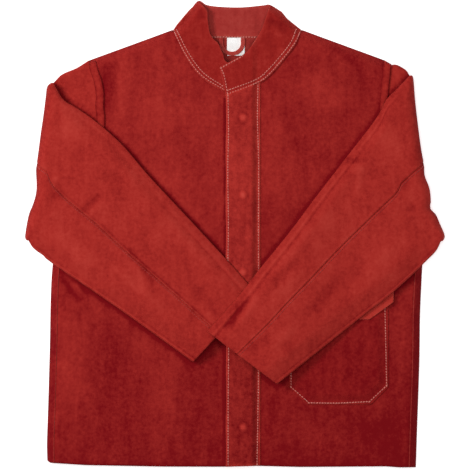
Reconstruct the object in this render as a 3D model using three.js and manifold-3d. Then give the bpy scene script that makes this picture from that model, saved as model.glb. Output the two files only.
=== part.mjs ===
// A split-leather welding jacket lying on its back, buttoned, with both sleeves folded across the front.
// Millimetres, +Z up, the wearer's left is +X and the collar is at +Y. The wearer's left sleeve lies on top.
import * as THREE from "three";
import { mergeVertices } from "three/addons/utils/BufferGeometryUtils.js";
import Module from "manifold-3d";

const wasm = await Module();
wasm.setup();

// ---- Driving dimensions -------------------------------------------------------------------------
const LEATHER = 1.4; // thickness of one layer
const GAP = 0.3; // clearance between layers and between pieces that meet
const BODY_DEPTH = 14; // flattened body, from the table to the outer face of the front
const SLEEVE_DEPTH = 16; // flattened forearm of a sleeve
const EDGE_ROLL = 18; // how far in from a folded edge the leather becomes flat
const BACK_LENGTH = 752; // back neck seam to hem
const NECK_Y = 348; // back neck seam
const NECK_WIDTH = [107.8, 115.5]; // centre to where the shoulder seam meets the collar, right and left
const NECK_DROP = 101; // back neck seam down to the lowest point of the front neckline
const SHOULDER_RISE = 12.9; // the collar end of a shoulder seam above the back neck seam
const COLLAR_HEIGHT = 52; // width of the collar band
const FOLD_INSET = 3; // each end of leather at an elbow stops this far from the fold line
const SLEEVE_REST = 0.4; // air between the front's highest layer and a folded sleeve

const PLACKET_WIDTH = 56; // covered button stand on the wearer's left front
const PLACKET_EDGE_X = -15.8; // its free edge
const PLACKET_RAMP = 12; // width over which it climbs from its seam to the height of the snaps
const FRONT_OVERLAP = 50; // how far the right front runs under the placket
const FACING_WIDTH = 62; // second layer behind the right front's edge

const SNAP_COUNT = 5;
const FIRST_SNAP_DROP = 41; // top snap below the lowest point of the neckline
const LAST_SNAP_RISE = 69; // bottom snap above the hem
const SNAP_FLANGE = 6; // radius of the discs that hold the leather
const STUD_RADIUS = 3; // stud head
const STUD_HEIGHT = 1.7; // stud head above its flange
const FLANGE = 0.8; // thickness of the discs
const POST_RADIUS = 1.4; // rivet post through the leather
const SNAP_CLEARANCE = 0.4; // between post and leather, and between stud and socket

const POCKET_WIDTH = 168;
const POCKET_HEIGHT = 205;
const POCKET_RISE = 111; // pocket's lower edge above the hem
const POCKET_INNER_X = 97.7; // pocket's edge nearest the placket
const POCKET_CORNER = 30; // clipped lower corners
const POCKET_ROOM = 4.6; // air inside the patch pocket
const FLAP_LENGTH = 69;
const FLAP_OVERHANG = 12; // how far the flap is wider than the pocket at each end
const FLAP_CORNER = 42; // clipped lower corners of the flap
const FLAP_CLIP = 0.73; // slope of its clipped corners
const FLAP_SEAT = 10; // flap's seam above the pocket's mouth

const LABEL = [31, 31, 0.5]; // width, height, thickness
const LOOP_X = -5.2; // middle of the hanger strap's loop
const LOOP_WIDTH = 7; // hanger strap
const LOOP_SPAN = 45; // between the outer edges of its two legs
const LOOP_DROP = 30; // how far it hangs below the neck seam
const ARMHOLE_SEAM = 1.6; // the sleeve and the body meet edge to edge this far apart, under the welt
const WELT_WIDTH = 12; // raised strip over the armhole seam

// ---- Places that follow from them ---------------------------------------------------------------
const HEM_Y = NECK_Y - BACK_LENGTH;
const FRONT_NECK_Y = NECK_Y - NECK_DROP;
const HINGE_X = PLACKET_EDGE_X + PLACKET_WIDTH;
const RIGHT_EDGE_X = PLACKET_EDGE_X + FRONT_OVERLAP;
const SHEET = LEATHER + GAP; // one layer and the clearance over it
const FLAT_EDGE = LEATHER + SHEET; // outer face of the front where it meets the back
const COLLAR_STACK = 2 * SHEET; // the two layers of a collar front over the edge of the front
const SNAP_STACK = FLANGE + STUD_HEIGHT + 2 * GAP; // the room that a closed snap needs under the placket
const PLACKET_LIFT = Math.max(SNAP_STACK, COLLAR_STACK); // it clears the snaps and the right collar's end
const SOCKET_HEIGHT = PLACKET_LIFT - FLANGE - 2 * GAP;
const RIGHT_COLLAR_END_X = HINGE_X - PLACKET_RAMP - 2; // the right collar ends under the left one
const SNAP_X = (PLACKET_EDGE_X + HINGE_X) / 2 + 1.8;
const SNAP_TOP_Y = FRONT_NECK_Y - FIRST_SNAP_DROP;
const SNAP_PITCH = (SNAP_TOP_Y - HEM_Y - LAST_SNAP_RISE) / (SNAP_COUNT - 1);
const SNAP_YS = Array.from({ length: SNAP_COUNT }, (_, i) => SNAP_TOP_Y - i * SNAP_PITCH);
const POCKET_BOTTOM = HEM_Y + POCKET_RISE;
const POCKET_TOP = POCKET_BOTTOM + POCKET_HEIGHT;
const POCKET_FACE = BODY_DEPTH + GAP + POCKET_ROOM; // underside of the patch
const FLAP_FACE = POCKET_FACE + SHEET; // underside of the flap
const PLACKET_FACE = BODY_DEPTH + GAP + PLACKET_LIFT + LEATHER + 2 * GAP + FLANGE; // underside of the cover
const SLEEVE_BASE = Math.max(PLACKET_FACE, FLAP_FACE) + LEATHER + SLEEVE_REST;
const CROSSING_LIFT = SLEEVE_DEPTH + 2 * SLEEVE_REST; // how much higher the left sleeve crosses the right

// One arm's outline in plan. Points are [outward, up] from the underarm point, which sits at `chest`.
const RIGHT_ARM = {
  side: -1,
  chest: 311.5,
  underarmY: 13,
  neck: NECK_WIDTH[0],
  sideSeam: [[329, HEM_Y], [326.5, -284], [321, -100]],
  armhole: [[-56.5, 87], [-71.5, 177], [-68.5, 239], [-55.5, 293.8]],
  fold: [[18.5, 245.5], [56, -17.4]],
  upperEdge: [[-70, 184.9], [-162.7, 89.4], [-236.5, 10.6], [-350, -113.6]],
  lowerEdge: [[8.5, -63.8], [-110.5, -142.7], [-238, -234.4]],
  lift: () => 0,
};
const LEFT_ARM = {
  side: 1,
  chest: 326,
  underarmY: 15,
  neck: NECK_WIDTH[1],
  sideSeam: [[317, HEM_Y], [322, -226], [327, -78]],
  armhole: [[-60, 90], [-69, 190], [-66.5, 248.9], [-63, 291.8]],
  fold: [[-13.8, 259.6], [41.5, -15.2]],
  upperEdge: [[-81, 187], [-186, 50.6], [-317.3, -117.4], [-375, -182.1]],
  lowerEdge: [[5.8, -64.4], [-102, -155.9], [-252.5, -274.9]],
  lift: (x) => CROSSING_LIFT * smooth((220 - x) / 165),
};

// ---- Materials ----------------------------------------------------------------------------------
const leather = (color) => new THREE.MeshStandardMaterial({ color, roughness: 0.92, metalness: 0 });
const suede = () => leather(0x9a2824);
const suedeInner = () => leather(0xa8423a);
const steel = () => new THREE.MeshStandardMaterial({ color: 0xa9a69e, roughness: 0.35, metalness: 1 });
const woven = () => new THREE.MeshStandardMaterial({ color: 0xf0eeee, roughness: 0.85, metalness: 0 });

// ---- Geometry helpers ---------------------------------------------------------------------------
const clamp01 = (t) => Math.min(1, Math.max(0, t));
const smooth = (t) => clamp01(t) ** 2 * (3 - 2 * clamp01(t));
const mix = (a, b, t) => a + (b - a) * t;
const mixPoint = (a, b, t) => a.map((value, i) => mix(value, b[i], t));
const steps = (count) => Array.from({ length: count + 1 }, (_, i) => i / count);

// A smooth curve through plan points, as t in 0..1 -> [x, y].
function curve(points) {
  const spline = new THREE.SplineCurve(points.map(([x, y]) => new THREE.Vector2(x, y)));
  return (t) => spline.getPoint(clamp01(t)).toArray();
}

// x at a given y on a smooth curve through plan points listed by rising y.
function curveAtY(points) {
  const at = curve(points);
  return (y) => {
    let low = 0;
    let high = 1;
    for (let i = 0; i < 30; i++) {
      const middle = (low + high) / 2;
      if (at(middle)[1] < y) low = middle;
      else high = middle;
    }
    return at(low)[0];
  };
}

// Distance from [x, y] to a polyline.
function distanceTo(line, [x, y]) {
  let least = Infinity;
  for (let i = 0; i + 1 < line.length; i++) {
    const [ax, ay] = line[i];
    const [dx, dy] = [line[i + 1][0] - ax, line[i + 1][1] - ay];
    const t = clamp01(((x - ax) * dx + (y - ay) * dy) / (dx * dx + dy * dy));
    least = Math.min(least, Math.hypot(x - ax - t * dx, y - ay - t * dy));
  }
  return least;
}

function toSolid(geometry) {
  const bare = geometry.clone();
  bare.deleteAttribute("normal");
  bare.deleteAttribute("uv");
  const merged = mergeVertices(bare, 1e-3);
  return new wasm.Manifold(
    new wasm.Mesh({
      numProp: 3,
      vertProperties: new Float32Array(merged.attributes.position.array),
      triVerts: new Uint32Array(merged.index.array),
    }),
  );
}

function fromSolid(solid) {
  const mesh = solid.getMesh();
  return new THREE.BufferGeometry()
    .setAttribute("position", new THREE.BufferAttribute(mesh.vertProperties, 3))
    .setIndex(new THREE.BufferAttribute(mesh.triVerts, 1));
}

// A closed sheet between two grids of points, its outer and its inner face, joined round the rim.
function closedSheet(outer, inner) {
  const rows = outer.length;
  const columns = outer[0].length;
  const positions = [...outer.flat(2), ...inner.flat(2)];
  const triangles = [];
  const quad = (a, b, c, d) => triangles.push(a, b, c, a, c, d);
  const top = (i, j) => i * columns + j;
  const bottom = (i, j) => rows * columns + i * columns + j;
  for (let i = 0; i + 1 < rows; i++)
    for (let j = 0; j + 1 < columns; j++) {
      quad(top(i, j), top(i, j + 1), top(i + 1, j + 1), top(i + 1, j));
      quad(bottom(i, j), bottom(i + 1, j), bottom(i + 1, j + 1), bottom(i, j + 1));
    }
  for (let j = 0; j + 1 < columns; j++) {
    quad(top(0, j + 1), top(0, j), bottom(0, j), bottom(0, j + 1));
    quad(top(rows - 1, j), top(rows - 1, j + 1), bottom(rows - 1, j + 1), bottom(rows - 1, j));
  }
  for (let i = 0; i + 1 < rows; i++) {
    quad(top(i, 0), top(i + 1, 0), bottom(i + 1, 0), bottom(i, 0));
    quad(top(i + 1, columns - 1), top(i, columns - 1), bottom(i, columns - 1), bottom(i + 1, columns - 1));
  }
  const geometry = new THREE.BufferGeometry();
  geometry.setAttribute("position", new THREE.Float32BufferAttribute(positions, 3));
  if (signedVolume(positions, triangles) < 0)
    for (let i = 0; i < triangles.length; i += 3)
      [triangles[i + 1], triangles[i + 2]] = [triangles[i + 2], triangles[i + 1]];
  geometry.setIndex(triangles);
  return geometry;
}

function signedVolume(positions, triangles) {
  const corner = (i) => new THREE.Vector3().fromArray(positions, 3 * triangles[i]);
  let sum = 0;
  for (let i = 0; i < triangles.length; i += 3) sum += corner(i).dot(corner(i + 1).cross(corner(i + 2)));
  return sum / 6;
}

// A sheet over plan points [x, y] in a grid, whose upper face is at height(x, y).
function layer(plan, height, thickness = LEATHER) {
  const lift = (drop) => plan.map((row) => row.map(([x, y]) => [x, y, height(x, y) - drop]));
  return closedSheet(lift(0), lift(thickness));
}

// A flat piece cut to an outline of plan points, lying at height z.
function flatPiece(outline, z, thickness = LEATHER) {
  const shape = new THREE.Shape(outline.map(([x, y]) => new THREE.Vector2(x, y)));
  const geometry = new THREE.ExtrudeGeometry(shape, { depth: thickness, bevelEnabled: false });
  return geometry.translate(0, 0, z);
}

// A round piece turned about a vertical axis, from its profile of [radius, height].
function turned(profile, x, y, z) {
  const points = profile.map(([r, h]) => new THREE.Vector2(r, h));
  return new THREE.LatheGeometry(points, 12).rotateX(Math.PI / 2).translate(x, y, z);
}

// The geometry with round holes at each snap, through everything.
function pierced(geometry, x) {
  const radius = POST_RADIUS + SNAP_CLEARANCE;
  const depth = 4 * BODY_DEPTH;
  return fromSolid(
    SNAP_YS.reduce((solid, y) => {
      const drill = new THREE.CylinderGeometry(radius, radius, depth, 10);
      return solid.subtract(toSolid(drill.rotateX(Math.PI / 2).translate(x, y, BODY_DEPTH)));
    }, toSolid(geometry)),
  );
}

const jacket = new THREE.Group();

function add(name, geometry, material) {
  geometry.computeVertexNormals();
  const mesh = new THREE.Mesh(geometry, material);
  mesh.name = name;
  jacket.add(mesh);
}

// ---- Outlines of each half ----------------------------------------------------------------------
function outlines(arm) {
  const place = ([out, up]) => [arm.side * (arm.chest + out), arm.underarmY + up];
  const underarm = place([0, 0]);
  const seam = arm.sideSeam.map(([x, y]) => [arm.side * x, y]);
  const armhole = arm.armhole.map(place);
  const shoulder = armhole.at(-1);
  const neck = [arm.side * arm.neck, NECK_Y + SHOULDER_RISE];
  const fold = arm.fold.map(place);
  const inset = (point) => [point[0] - arm.side * FOLD_INSET, point[1]];
  return {
    ...arm,
    underarm,
    shoulder,
    neck,
    fold,
    foldInset: fold.map(inset),
    outerX: curveAtY([...seam, underarm]),
    armholeX: curveAtY([underarm, ...armhole]),
    upperEdge: [inset(fold[0]), ...arm.upperEdge.map(place)],
    lowerEdge: [inset(fold[1]), ...arm.lowerEdge.map(place)],
    closedEdges: [
      [...seam, underarm, fold[1]],
      [neck, shoulder, fold[0]],
    ],
  };
}
const RIGHT = outlines(RIGHT_ARM);
const LEFT = outlines(LEFT_ARM);

// Outer face of the front: it rolls down to the back along the side and shoulder seams.
function frontHeight(half) {
  return (x, y) => {
    const inward = Math.min(...half.closedEdges.map((line) => distanceTo(line, [x, y])));
    return FLAT_EDGE + (BODY_DEPTH - FLAT_EDGE) * Math.sin((Math.PI / 2) * clamp01(inward / EDGE_ROLL));
  };
}

// Front neckline of each half, from the shoulder to its free edge at the centre.
const RIGHT_NECKLINE = [
  RIGHT.neck,
  [-85.8, FRONT_NECK_Y + 69],
  [-59.5, FRONT_NECK_Y + 34],
  [-21, FRONT_NECK_Y + 9.4],
  [RIGHT_EDGE_X, FRONT_NECK_Y],
];
const RIGHT_COLLAR_FOOT = [...RIGHT_NECKLINE.slice(0, -1), [RIGHT_COLLAR_END_X, FRONT_NECK_Y + 2]];
const LEFT_NECKLINE = [
  LEFT.neck,
  [104.1, FRONT_NECK_Y + 89],
  [81.9, FRONT_NECK_Y + 60],
  [57.4, FRONT_NECK_Y + 33.4],
  [HINGE_X, FRONT_NECK_Y + 22],
  [PLACKET_EDGE_X, FRONT_NECK_Y],
];
const RIGHT_COLLAR_EDGE = [
  [-65.5, 411],
  [-48, NECK_Y + 30],
  [-38, NECK_Y - 4],
  [-21, NECK_Y - 31],
  [RIGHT_COLLAR_END_X, FRONT_NECK_Y + COLLAR_HEIGHT - 10],
];
const LEFT_COLLAR_EDGE = [
  [61.3, 404.3],
  [47.3, NECK_Y + 15],
  [29.8, NECK_Y - 14.6],
  [14.9, NECK_Y - 30.7],
  [PLACKET_EDGE_X - 11.7, NECK_Y - 53],
];

// ---- Body ---------------------------------------------------------------------------------------
// Rows of plan points of one front, from the hem up to the shoulder, each from the centre outwards.
function frontPlan(half, centreX, neckline) {
  const necklineX = curveAtY([...neckline].reverse());
  const neckFoot = neckline.at(-1)[1];
  const shoulderY = half.shoulder[1];
  const top = half.neck[1] - 8;
  const levels = [
    ...steps(6).map((t) => mix(HEM_Y, half.underarmY, t)),
    ...steps(6).slice(1).map((t) => mix(half.underarmY, neckFoot, t)),
    ...steps(2).slice(1).map((t) => mix(neckFoot, shoulderY, t)),
    ...steps(2).slice(1).map((t) => mix(shoulderY, top, t)),
  ];
  const shoulderX = (y) => mix(half.shoulder[0], half.neck[0], (y - shoulderY) / (half.neck[1] - shoulderY));
  return levels.map((y) => {
    const inner = y > neckFoot ? necklineX(y) + half.side * GAP : centreX;
    let outer = shoulderX(y);
    if (y < shoulderY) outer = half.armholeX(y) - (half.side * ARMHOLE_SEAM) / 2;
    if (y < half.underarmY) outer = half.outerX(y);
    const width = Math.abs(outer - inner);
    const roll = Math.min(EDGE_ROLL, width / 3) / width;
    return [0, 0.3, 0.6, 1 - roll, 1 - roll / 2, 1 - roll / 5, 1].map((t) => [mix(inner, outer, t), y]);
  });
}

const backOutline = [];
for (const half of [LEFT, RIGHT]) {
  const edge = [
    ...steps(6).map((t) => mix(HEM_Y, half.underarmY, t)).map((y) => [half.outerX(y), y]),
    ...steps(20)
      .slice(1)
      .map((t) => mix(half.underarmY, half.shoulder[1], t))
      .map((y) => [half.armholeX(y), y]),
    half.neck,
    [half.side * 40, NECK_Y],
  ].map(([x, y]) => [x - (half.side * ARMHOLE_SEAM) / 2, y]);
  backOutline.push(...(half === LEFT ? edge : edge.reverse()));
}
add("back_panel", flatPiece(backOutline, 0), suede());

const rightFront = layer(frontPlan(RIGHT, RIGHT_EDGE_X, RIGHT_NECKLINE), frontHeight(RIGHT));
add("right_front_panel", pierced(rightFront, SNAP_X), suede());
const leftPlan = frontPlan(LEFT, RIGHT_EDGE_X + 2, LEFT_NECKLINE.slice(0, -1));
add("left_front_panel", layer(leftPlan, frontHeight(LEFT)), suede());

const facingPlan = [HEM_Y + 2, FRONT_NECK_Y - 4].map((y) =>
  [RIGHT_EDGE_X - FACING_WIDTH, RIGHT_EDGE_X].map((x) => [x, y]),
);
const rightFacing = layer(facingPlan, () => BODY_DEPTH - SHEET);
add("right_front_facing", pierced(rightFacing, SNAP_X), suedeInner());

const neckFacing = [
  [-78, NECK_Y - 2],
  [-50, NECK_Y - 52],
  [50, NECK_Y - 52],
  [78, NECK_Y - 2],
];
add("back_neck_facing", flatPiece(neckFacing, SHEET), suedeInner());
const labelCorner = [-14, NECK_Y - 2 - LABEL[1]];
const labelPiece = new THREE.BoxGeometry(...LABEL);
const labelX = labelCorner[0] + LABEL[0] / 2;
const labelY = labelCorner[1] + LABEL[1] / 2;
add("neck_label", labelPiece.translate(labelX, labelY, 2 * SHEET + LABEL[2] / 2), woven());

// ---- Collar: an outer band and a lining, round the neck -----------------------------------------
const collarBack = [
  RIGHT.neck,
  [-103, 364],
  [-85.8, 383],
  RIGHT_COLLAR_EDGE[0],
  [-28, 401],
  [10.5, 400],
  LEFT_COLLAR_EDGE[0],
  [81.9, 392],
  [99.8, 374],
  LEFT.neck,
  [40, NECK_Y],
  [-40, NECK_Y],
].map(([x, y]) => [x, y + GAP]);
add("collar_back_outer", flatPiece(collarBack, 0), suede());
add("collar_back_lining", flatPiece(collarBack, SHEET), suedeInner());

// Plan points of a band between the neckline and the collar's edge.
function collarPlan(neckline, edge) {
  const foot = curve(neckline);
  const top = curve(edge);
  return steps(7).map((t) => steps(2).map((s) => mixPoint(foot(t), top(t), s)));
}

// A collar front lies over the front's neckline, and rolls down to the collar back at its fold.
function addCollarFront(name, half, foot, edge) {
  const plan = collarPlan(foot, edge);
  const height = frontHeight({ closedEdges: [...half.closedEdges, [half.neck, edge[0]]] });
  add(name + "_lining", layer(plan, (x, y) => height(x, y) + SHEET), suedeInner());
  add(name + "_outer", layer(plan, (x, y) => height(x, y) + 2 * SHEET), suede());
}
addCollarFront("collar_right", RIGHT, RIGHT_COLLAR_FOOT, RIGHT_COLLAR_EDGE);
const seamX = HINGE_X + 2 * GAP;
const leftCollarFoot = [...LEFT_NECKLINE.slice(0, 4), [seamX, FRONT_NECK_Y + 23]];
const leftCollarTop = [LEFT_COLLAR_EDGE[0], [52, NECK_Y + 25], [45, NECK_Y + 10], [seamX, NECK_Y - 2]];
addCollarFront("collar_left", LEFT, leftCollarFoot, leftCollarTop);

// ---- Placket: a cover and a facing on the wearer's left front, hinged along their seam ----------
const climb = (x) => smooth((HINGE_X - x) / PLACKET_RAMP);
const placketFacingTop = (x) => BODY_DEPTH + SHEET + PLACKET_LIFT * climb(x);
const placketCoverTop = (x) => placketFacingTop(x) + SHEET + (GAP + FLANGE) * climb(x);
const leftNecklineY = (x) =>
  mix(LEFT_NECKLINE[5][1], LEFT_NECKLINE[4][1], (x - PLACKET_EDGE_X) / PLACKET_WIDTH);
const placketColumns = [0, 0.25, 0.5, 0.78, 0.9, 1].map((t) => mix(PLACKET_EDGE_X, HINGE_X, t));
const placketPlan = steps(6).map((t) =>
  placketColumns.map((x) => [x, mix(HEM_Y, leftNecklineY(x) - GAP, t)]),
);
add("placket_cover", layer(placketPlan, placketCoverTop), suede());
add("placket_facing", pierced(layer(placketPlan, placketFacingTop), SNAP_X), suedeInner());

const endTop = curve([[HINGE_X, NECK_Y + 1], ...LEFT_COLLAR_EDGE.slice(2)]);
const collarEndPlan = steps(6).map((t) => {
  const x = mix(HINGE_X, PLACKET_EDGE_X, t);
  return steps(2).map((s) => mixPoint([x, leftNecklineY(x) + GAP], endTop(t), s));
});
const collarEndTop = (x) => BODY_DEPTH + SHEET + COLLAR_STACK * climb(x);
add("collar_left_end_lining", layer(collarEndPlan, collarEndTop), suedeInner());
add("collar_left_end_outer", layer(collarEndPlan, (x) => collarEndTop(x) + SHEET), suede());

// ---- Snap fasteners: eyelet and stud on the right front, socket and cap on the placket -----------
const studSeat = BODY_DEPTH + GAP;
const socketSeat = studSeat + FLANGE + GAP;
const capSeat = placketFacingTop(SNAP_X) + GAP;
const studProfile = [
  [POST_RADIUS + SNAP_CLEARANCE, 0],
  [SNAP_FLANGE, 0],
  [SNAP_FLANGE, FLANGE],
  [STUD_RADIUS * 0.9, FLANGE],
  [STUD_RADIUS, FLANGE + STUD_HEIGHT * 0.6],
  [STUD_RADIUS * 0.8, FLANGE + STUD_HEIGHT],
  [POST_RADIUS + SNAP_CLEARANCE, FLANGE + STUD_HEIGHT],
  [POST_RADIUS + SNAP_CLEARANCE, 0],
];
const eyeletProfile = [
  [0, 0],
  [SNAP_FLANGE, 0],
  [SNAP_FLANGE, FLANGE],
  [POST_RADIUS, FLANGE],
  [POST_RADIUS, 2 * FLANGE + 2 * SHEET + GAP],
  [0, 2 * FLANGE + 2 * SHEET + GAP],
];
const socketInner = STUD_RADIUS + SNAP_CLEARANCE;
const socketProfile = [
  [socketInner, 0],
  [SNAP_FLANGE, 0],
  [SNAP_FLANGE, SOCKET_HEIGHT],
  [socketInner, SOCKET_HEIGHT],
  [socketInner, 0],
];
const capProfile = [
  [0, -LEATHER - GAP],
  [POST_RADIUS, -LEATHER - GAP],
  [POST_RADIUS, 0],
  [SNAP_FLANGE, 0],
  [SNAP_FLANGE, FLANGE],
  [0, FLANGE],
];
SNAP_YS.forEach((y, i) => {
  const number = i + 1;
  add(`snap_eyelet_${number}`, turned(eyeletProfile, SNAP_X, y, BODY_DEPTH - 2 * SHEET - FLANGE), steel());
  add(`snap_stud_${number}`, turned(studProfile, SNAP_X, y, studSeat), steel());
  add(`snap_socket_${number}`, turned(socketProfile, SNAP_X, y, socketSeat), steel());
  add(`snap_cap_${number}`, turned(capProfile, SNAP_X, y, capSeat), steel());
});

// ---- Chest pocket and its flap ------------------------------------------------------------------
const pocketOuterX = POCKET_INNER_X + POCKET_WIDTH;
// Columns run across the patch; its lower corners are clipped, and its sides and foot lie on the front.
const pocketPlan = [0, 0.06, 0.18, 0.5, 1].map((v) =>
  [0, 0.05, POCKET_CORNER / POCKET_WIDTH, 0.5, 1 - POCKET_CORNER / POCKET_WIDTH, 0.95, 1].map((u) => {
    const fromSide = Math.min(u, 1 - u) * POCKET_WIDTH;
    const floor = POCKET_BOTTOM + Math.max(0, POCKET_CORNER - fromSide);
    return [POCKET_INNER_X + u * POCKET_WIDTH, mix(floor, POCKET_TOP, v)];
  }),
);
const pocketEdge = [
  [POCKET_INNER_X, POCKET_TOP],
  [POCKET_INNER_X, POCKET_BOTTOM + POCKET_CORNER],
  [POCKET_INNER_X + POCKET_CORNER, POCKET_BOTTOM],
  [pocketOuterX - POCKET_CORNER, POCKET_BOTTOM],
  [pocketOuterX, POCKET_BOTTOM + POCKET_CORNER],
  [pocketOuterX, POCKET_TOP],
];
const pocketTopFace = (x, y) =>
  BODY_DEPTH + GAP + LEATHER + POCKET_ROOM * smooth(distanceTo(pocketEdge, [x, y]) / (2 * POCKET_ROOM));
add("pocket_patch", layer(pocketPlan, pocketTopFace), suede());

const flapTop = POCKET_TOP + FLAP_SEAT;
const flapLeft = POCKET_INNER_X - FLAP_OVERHANG;
const flapWidth = POCKET_WIDTH + 2 * FLAP_OVERHANG;
const flapColumns = [0, FLAP_CORNER / 2, FLAP_CORNER].flatMap((across) => [across, flapWidth - across]);
const flapPlan = [...flapColumns, flapWidth / 2].sort((a, b) => a - b).map((across) => {
  const fromSide = Math.min(across, flapWidth - across);
  const foot = flapTop - FLAP_LENGTH + Math.max(0, FLAP_CLIP * (FLAP_CORNER - fromSide));
  const ramp = [0.9, 0.45, 0].map((share) => flapTop - share * FLAP_SEAT);
  return [foot, mix(foot, ramp[0], 0.5), ...ramp].map((y) => [flapLeft + across, y]);
});
const flapTopFace = (x, y) => {
  const rise = FLAP_FACE - BODY_DEPTH - GAP;
  return BODY_DEPTH + GAP + LEATHER + rise * smooth((flapTop - y) / (0.9 * FLAP_SEAT));
};
add("pocket_flap", layer(flapPlan, flapTopFace), suede());

// ---- Hanger loop at the back of the neck: a strap bent into a U ---------------------------------
const loopOuter = LOOP_SPAN / 2;
const loopInner = loopOuter - LOOP_WIDTH;
const loopCentre = [LOOP_X, NECK_Y - 3];
const arcDrop = LOOP_DROP - loopOuter;
const loopRing = (radius) => [
  [radius, 0],
  ...steps(10).map((t) => [radius * Math.cos(Math.PI * t), -arcDrop - radius * Math.sin(Math.PI * t)]),
  [-radius, 0],
];
const loopPlan = [loopRing(loopOuter), loopRing(loopInner)].map((ring) =>
  ring.map(([x, y]) => [loopCentre[0] + x, loopCentre[1] + y]),
);
add("hanger_loop", layer(loopPlan, () => 2 * SHEET + LABEL[2] + GAP + LEATHER), suede());

// ---- Sleeves ------------------------------------------------------------------------------------
// Stations round a flattened sleeve: [face, share of the width, roll angle]. The top sleeve goes from the
// seam on the back of the arm round the overarm edge; the under sleeve closes the rest round the underarm.
const ROLL_ANGLES = [-90, -45, 0, 45, 90];
const BACK_SEAM = 0.5;
const FRONT_SEAM = 0.86;
const topSleeveStations = [
  ...[1, 0.75, 0.5, 0.25].map((part) => ["back", BACK_SEAM * part]),
  ...ROLL_ANGLES.map((angle) => ["overarm", angle]),
  ...[0.15, 0.35, 0.55, 0.8, 1].map((part) => ["front", FRONT_SEAM * part]),
];
const underSleeveStations = [
  ["front", FRONT_SEAM],
  ...[...ROLL_ANGLES].reverse().map((angle) => ["underarm", angle]),
  ...[0.75, 0.5, 0.25, 0].map((part) => ["back", mix(BACK_SEAM, 1, part)]),
];

// One station at plan(s, t): `inset` 0 is the outer face and LEATHER the inner one.
// `flipped` turns the arm over, so that its back faces up.
function stationPoint([face, value], { plan, base, depth, flipped }, t, inset, seamShift) {
  const [overarm, underarm] = [plan(0, t), plan(1, t)];
  const width = Math.hypot(underarm[0] - overarm[0], underarm[1] - overarm[1]);
  const roll = EDGE_ROLL / 2;
  let share = value + seamShift / width;
  let level = face === "front" ? 1 : 0;
  if (face === "overarm" || face === "underarm") {
    const angle = THREE.MathUtils.degToRad(value);
    const offset = (inset + (roll - inset) * (1 - Math.cos(angle))) / width;
    share = face === "overarm" ? offset : 1 - offset;
    level = (1 + Math.sin(angle)) / 2;
  }
  if (flipped) level = 1 - level;
  const [x, y] = plan(share, t);
  return [x, y, base(x, y) + inset + (depth - 2 * inset) * level];
}

function sleevePanel(tube, stations, along) {
  const last = stations.length - 1;
  const direction = stations === topSleeveStations ? -1 : 1;
  const face = (inset) =>
    steps(along).map((t) =>
      stations.map((station, k) => {
        const atSeam = k === 0 || k === last ? (direction * GAP) / 2 : 0;
        return stationPoint(station, tube, t, inset, atSeam);
      }),
    );
  return closedSheet(face(0), face(LEATHER));
}

function addSleeve(name, half) {
  const armhole = (s) => {
    const y = mix(half.shoulder[1], half.underarm[1], s);
    return [half.armholeX(y) + (half.side * ARMHOLE_SEAM) / 2, y];
  };
  const upperArm = {
    plan: (s, t) => mixPoint(armhole(s), mixPoint(...half.foldInset, s), t),
    base: () => 0,
    depth: BODY_DEPTH,
    flipped: false,
  };
  const upper = curve(half.upperEdge);
  const lower = curve(half.lowerEdge);
  const forearm = {
    plan: (s, t) => mixPoint(upper(t), lower(t), s),
    base: (x) => SLEEVE_BASE + half.lift(x),
    depth: SLEEVE_DEPTH,
    flipped: true,
  };
  add(`${name}_top_sleeve_upper_arm`, sleevePanel(upperArm, topSleeveStations, 3), suede());
  add(`${name}_under_sleeve_upper_arm`, sleevePanel(upperArm, underSleeveStations, 3), suede());
  add(`${name}_top_sleeve_forearm`, sleevePanel(forearm, topSleeveStations, 9), suede());
  add(`${name}_under_sleeve_forearm`, sleevePanel(forearm, underSleeveStations, 9), suede());

  const weltTop = half.shoulder[1] - 2 * EDGE_ROLL;
  const weltPlan = steps(4).map((t) => {
    const y = mix(half.underarmY + 2 * EDGE_ROLL, weltTop, t);
    const seamX = half.armholeX(y) + (half.side * WELT_WIDTH) / 2;
    return [[seamX, y], [seamX - half.side * WELT_WIDTH, y]];
  });
  add(`${name}_armhole_welt`, layer(weltPlan, () => BODY_DEPTH + SHEET), suede());
}
addSleeve("right", RIGHT);
addSleeve("left", LEFT);

// The origin is under the middle of the jacket's box, on the table.
const box = new THREE.Box3().setFromObject(jacket);
const centre = box.getCenter(new THREE.Vector3());
jacket.position.set(-centre.x, -centre.y, -box.min.z);

export default jacket;
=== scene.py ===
import math

import bpy
import numpy as np
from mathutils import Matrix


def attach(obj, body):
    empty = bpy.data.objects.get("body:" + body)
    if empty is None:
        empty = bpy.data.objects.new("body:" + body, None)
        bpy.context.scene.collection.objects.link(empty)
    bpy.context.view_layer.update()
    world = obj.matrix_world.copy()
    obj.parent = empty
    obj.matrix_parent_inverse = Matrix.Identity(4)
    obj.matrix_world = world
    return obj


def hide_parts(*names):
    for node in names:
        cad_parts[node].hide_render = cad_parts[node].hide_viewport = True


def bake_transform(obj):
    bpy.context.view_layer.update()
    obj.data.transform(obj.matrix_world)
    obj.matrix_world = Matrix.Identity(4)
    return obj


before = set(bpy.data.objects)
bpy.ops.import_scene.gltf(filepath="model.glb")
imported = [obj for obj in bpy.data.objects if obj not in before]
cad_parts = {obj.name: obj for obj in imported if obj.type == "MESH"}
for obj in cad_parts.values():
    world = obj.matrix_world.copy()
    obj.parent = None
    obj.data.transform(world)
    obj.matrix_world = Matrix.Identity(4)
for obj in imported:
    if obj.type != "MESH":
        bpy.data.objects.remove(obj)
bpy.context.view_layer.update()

# ---- Back panel -----------------------------------------------------------------------------------
# The whole back of the jacket in one piece of red split cowhide, lying on the table.
# Below the armpits its sides turn up round the flattened body and lap 12 mm over the fronts,
# where the side seams are sewn.
MM = 0.001
LEATHER = 1.4
LAYER = 1.7
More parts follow.
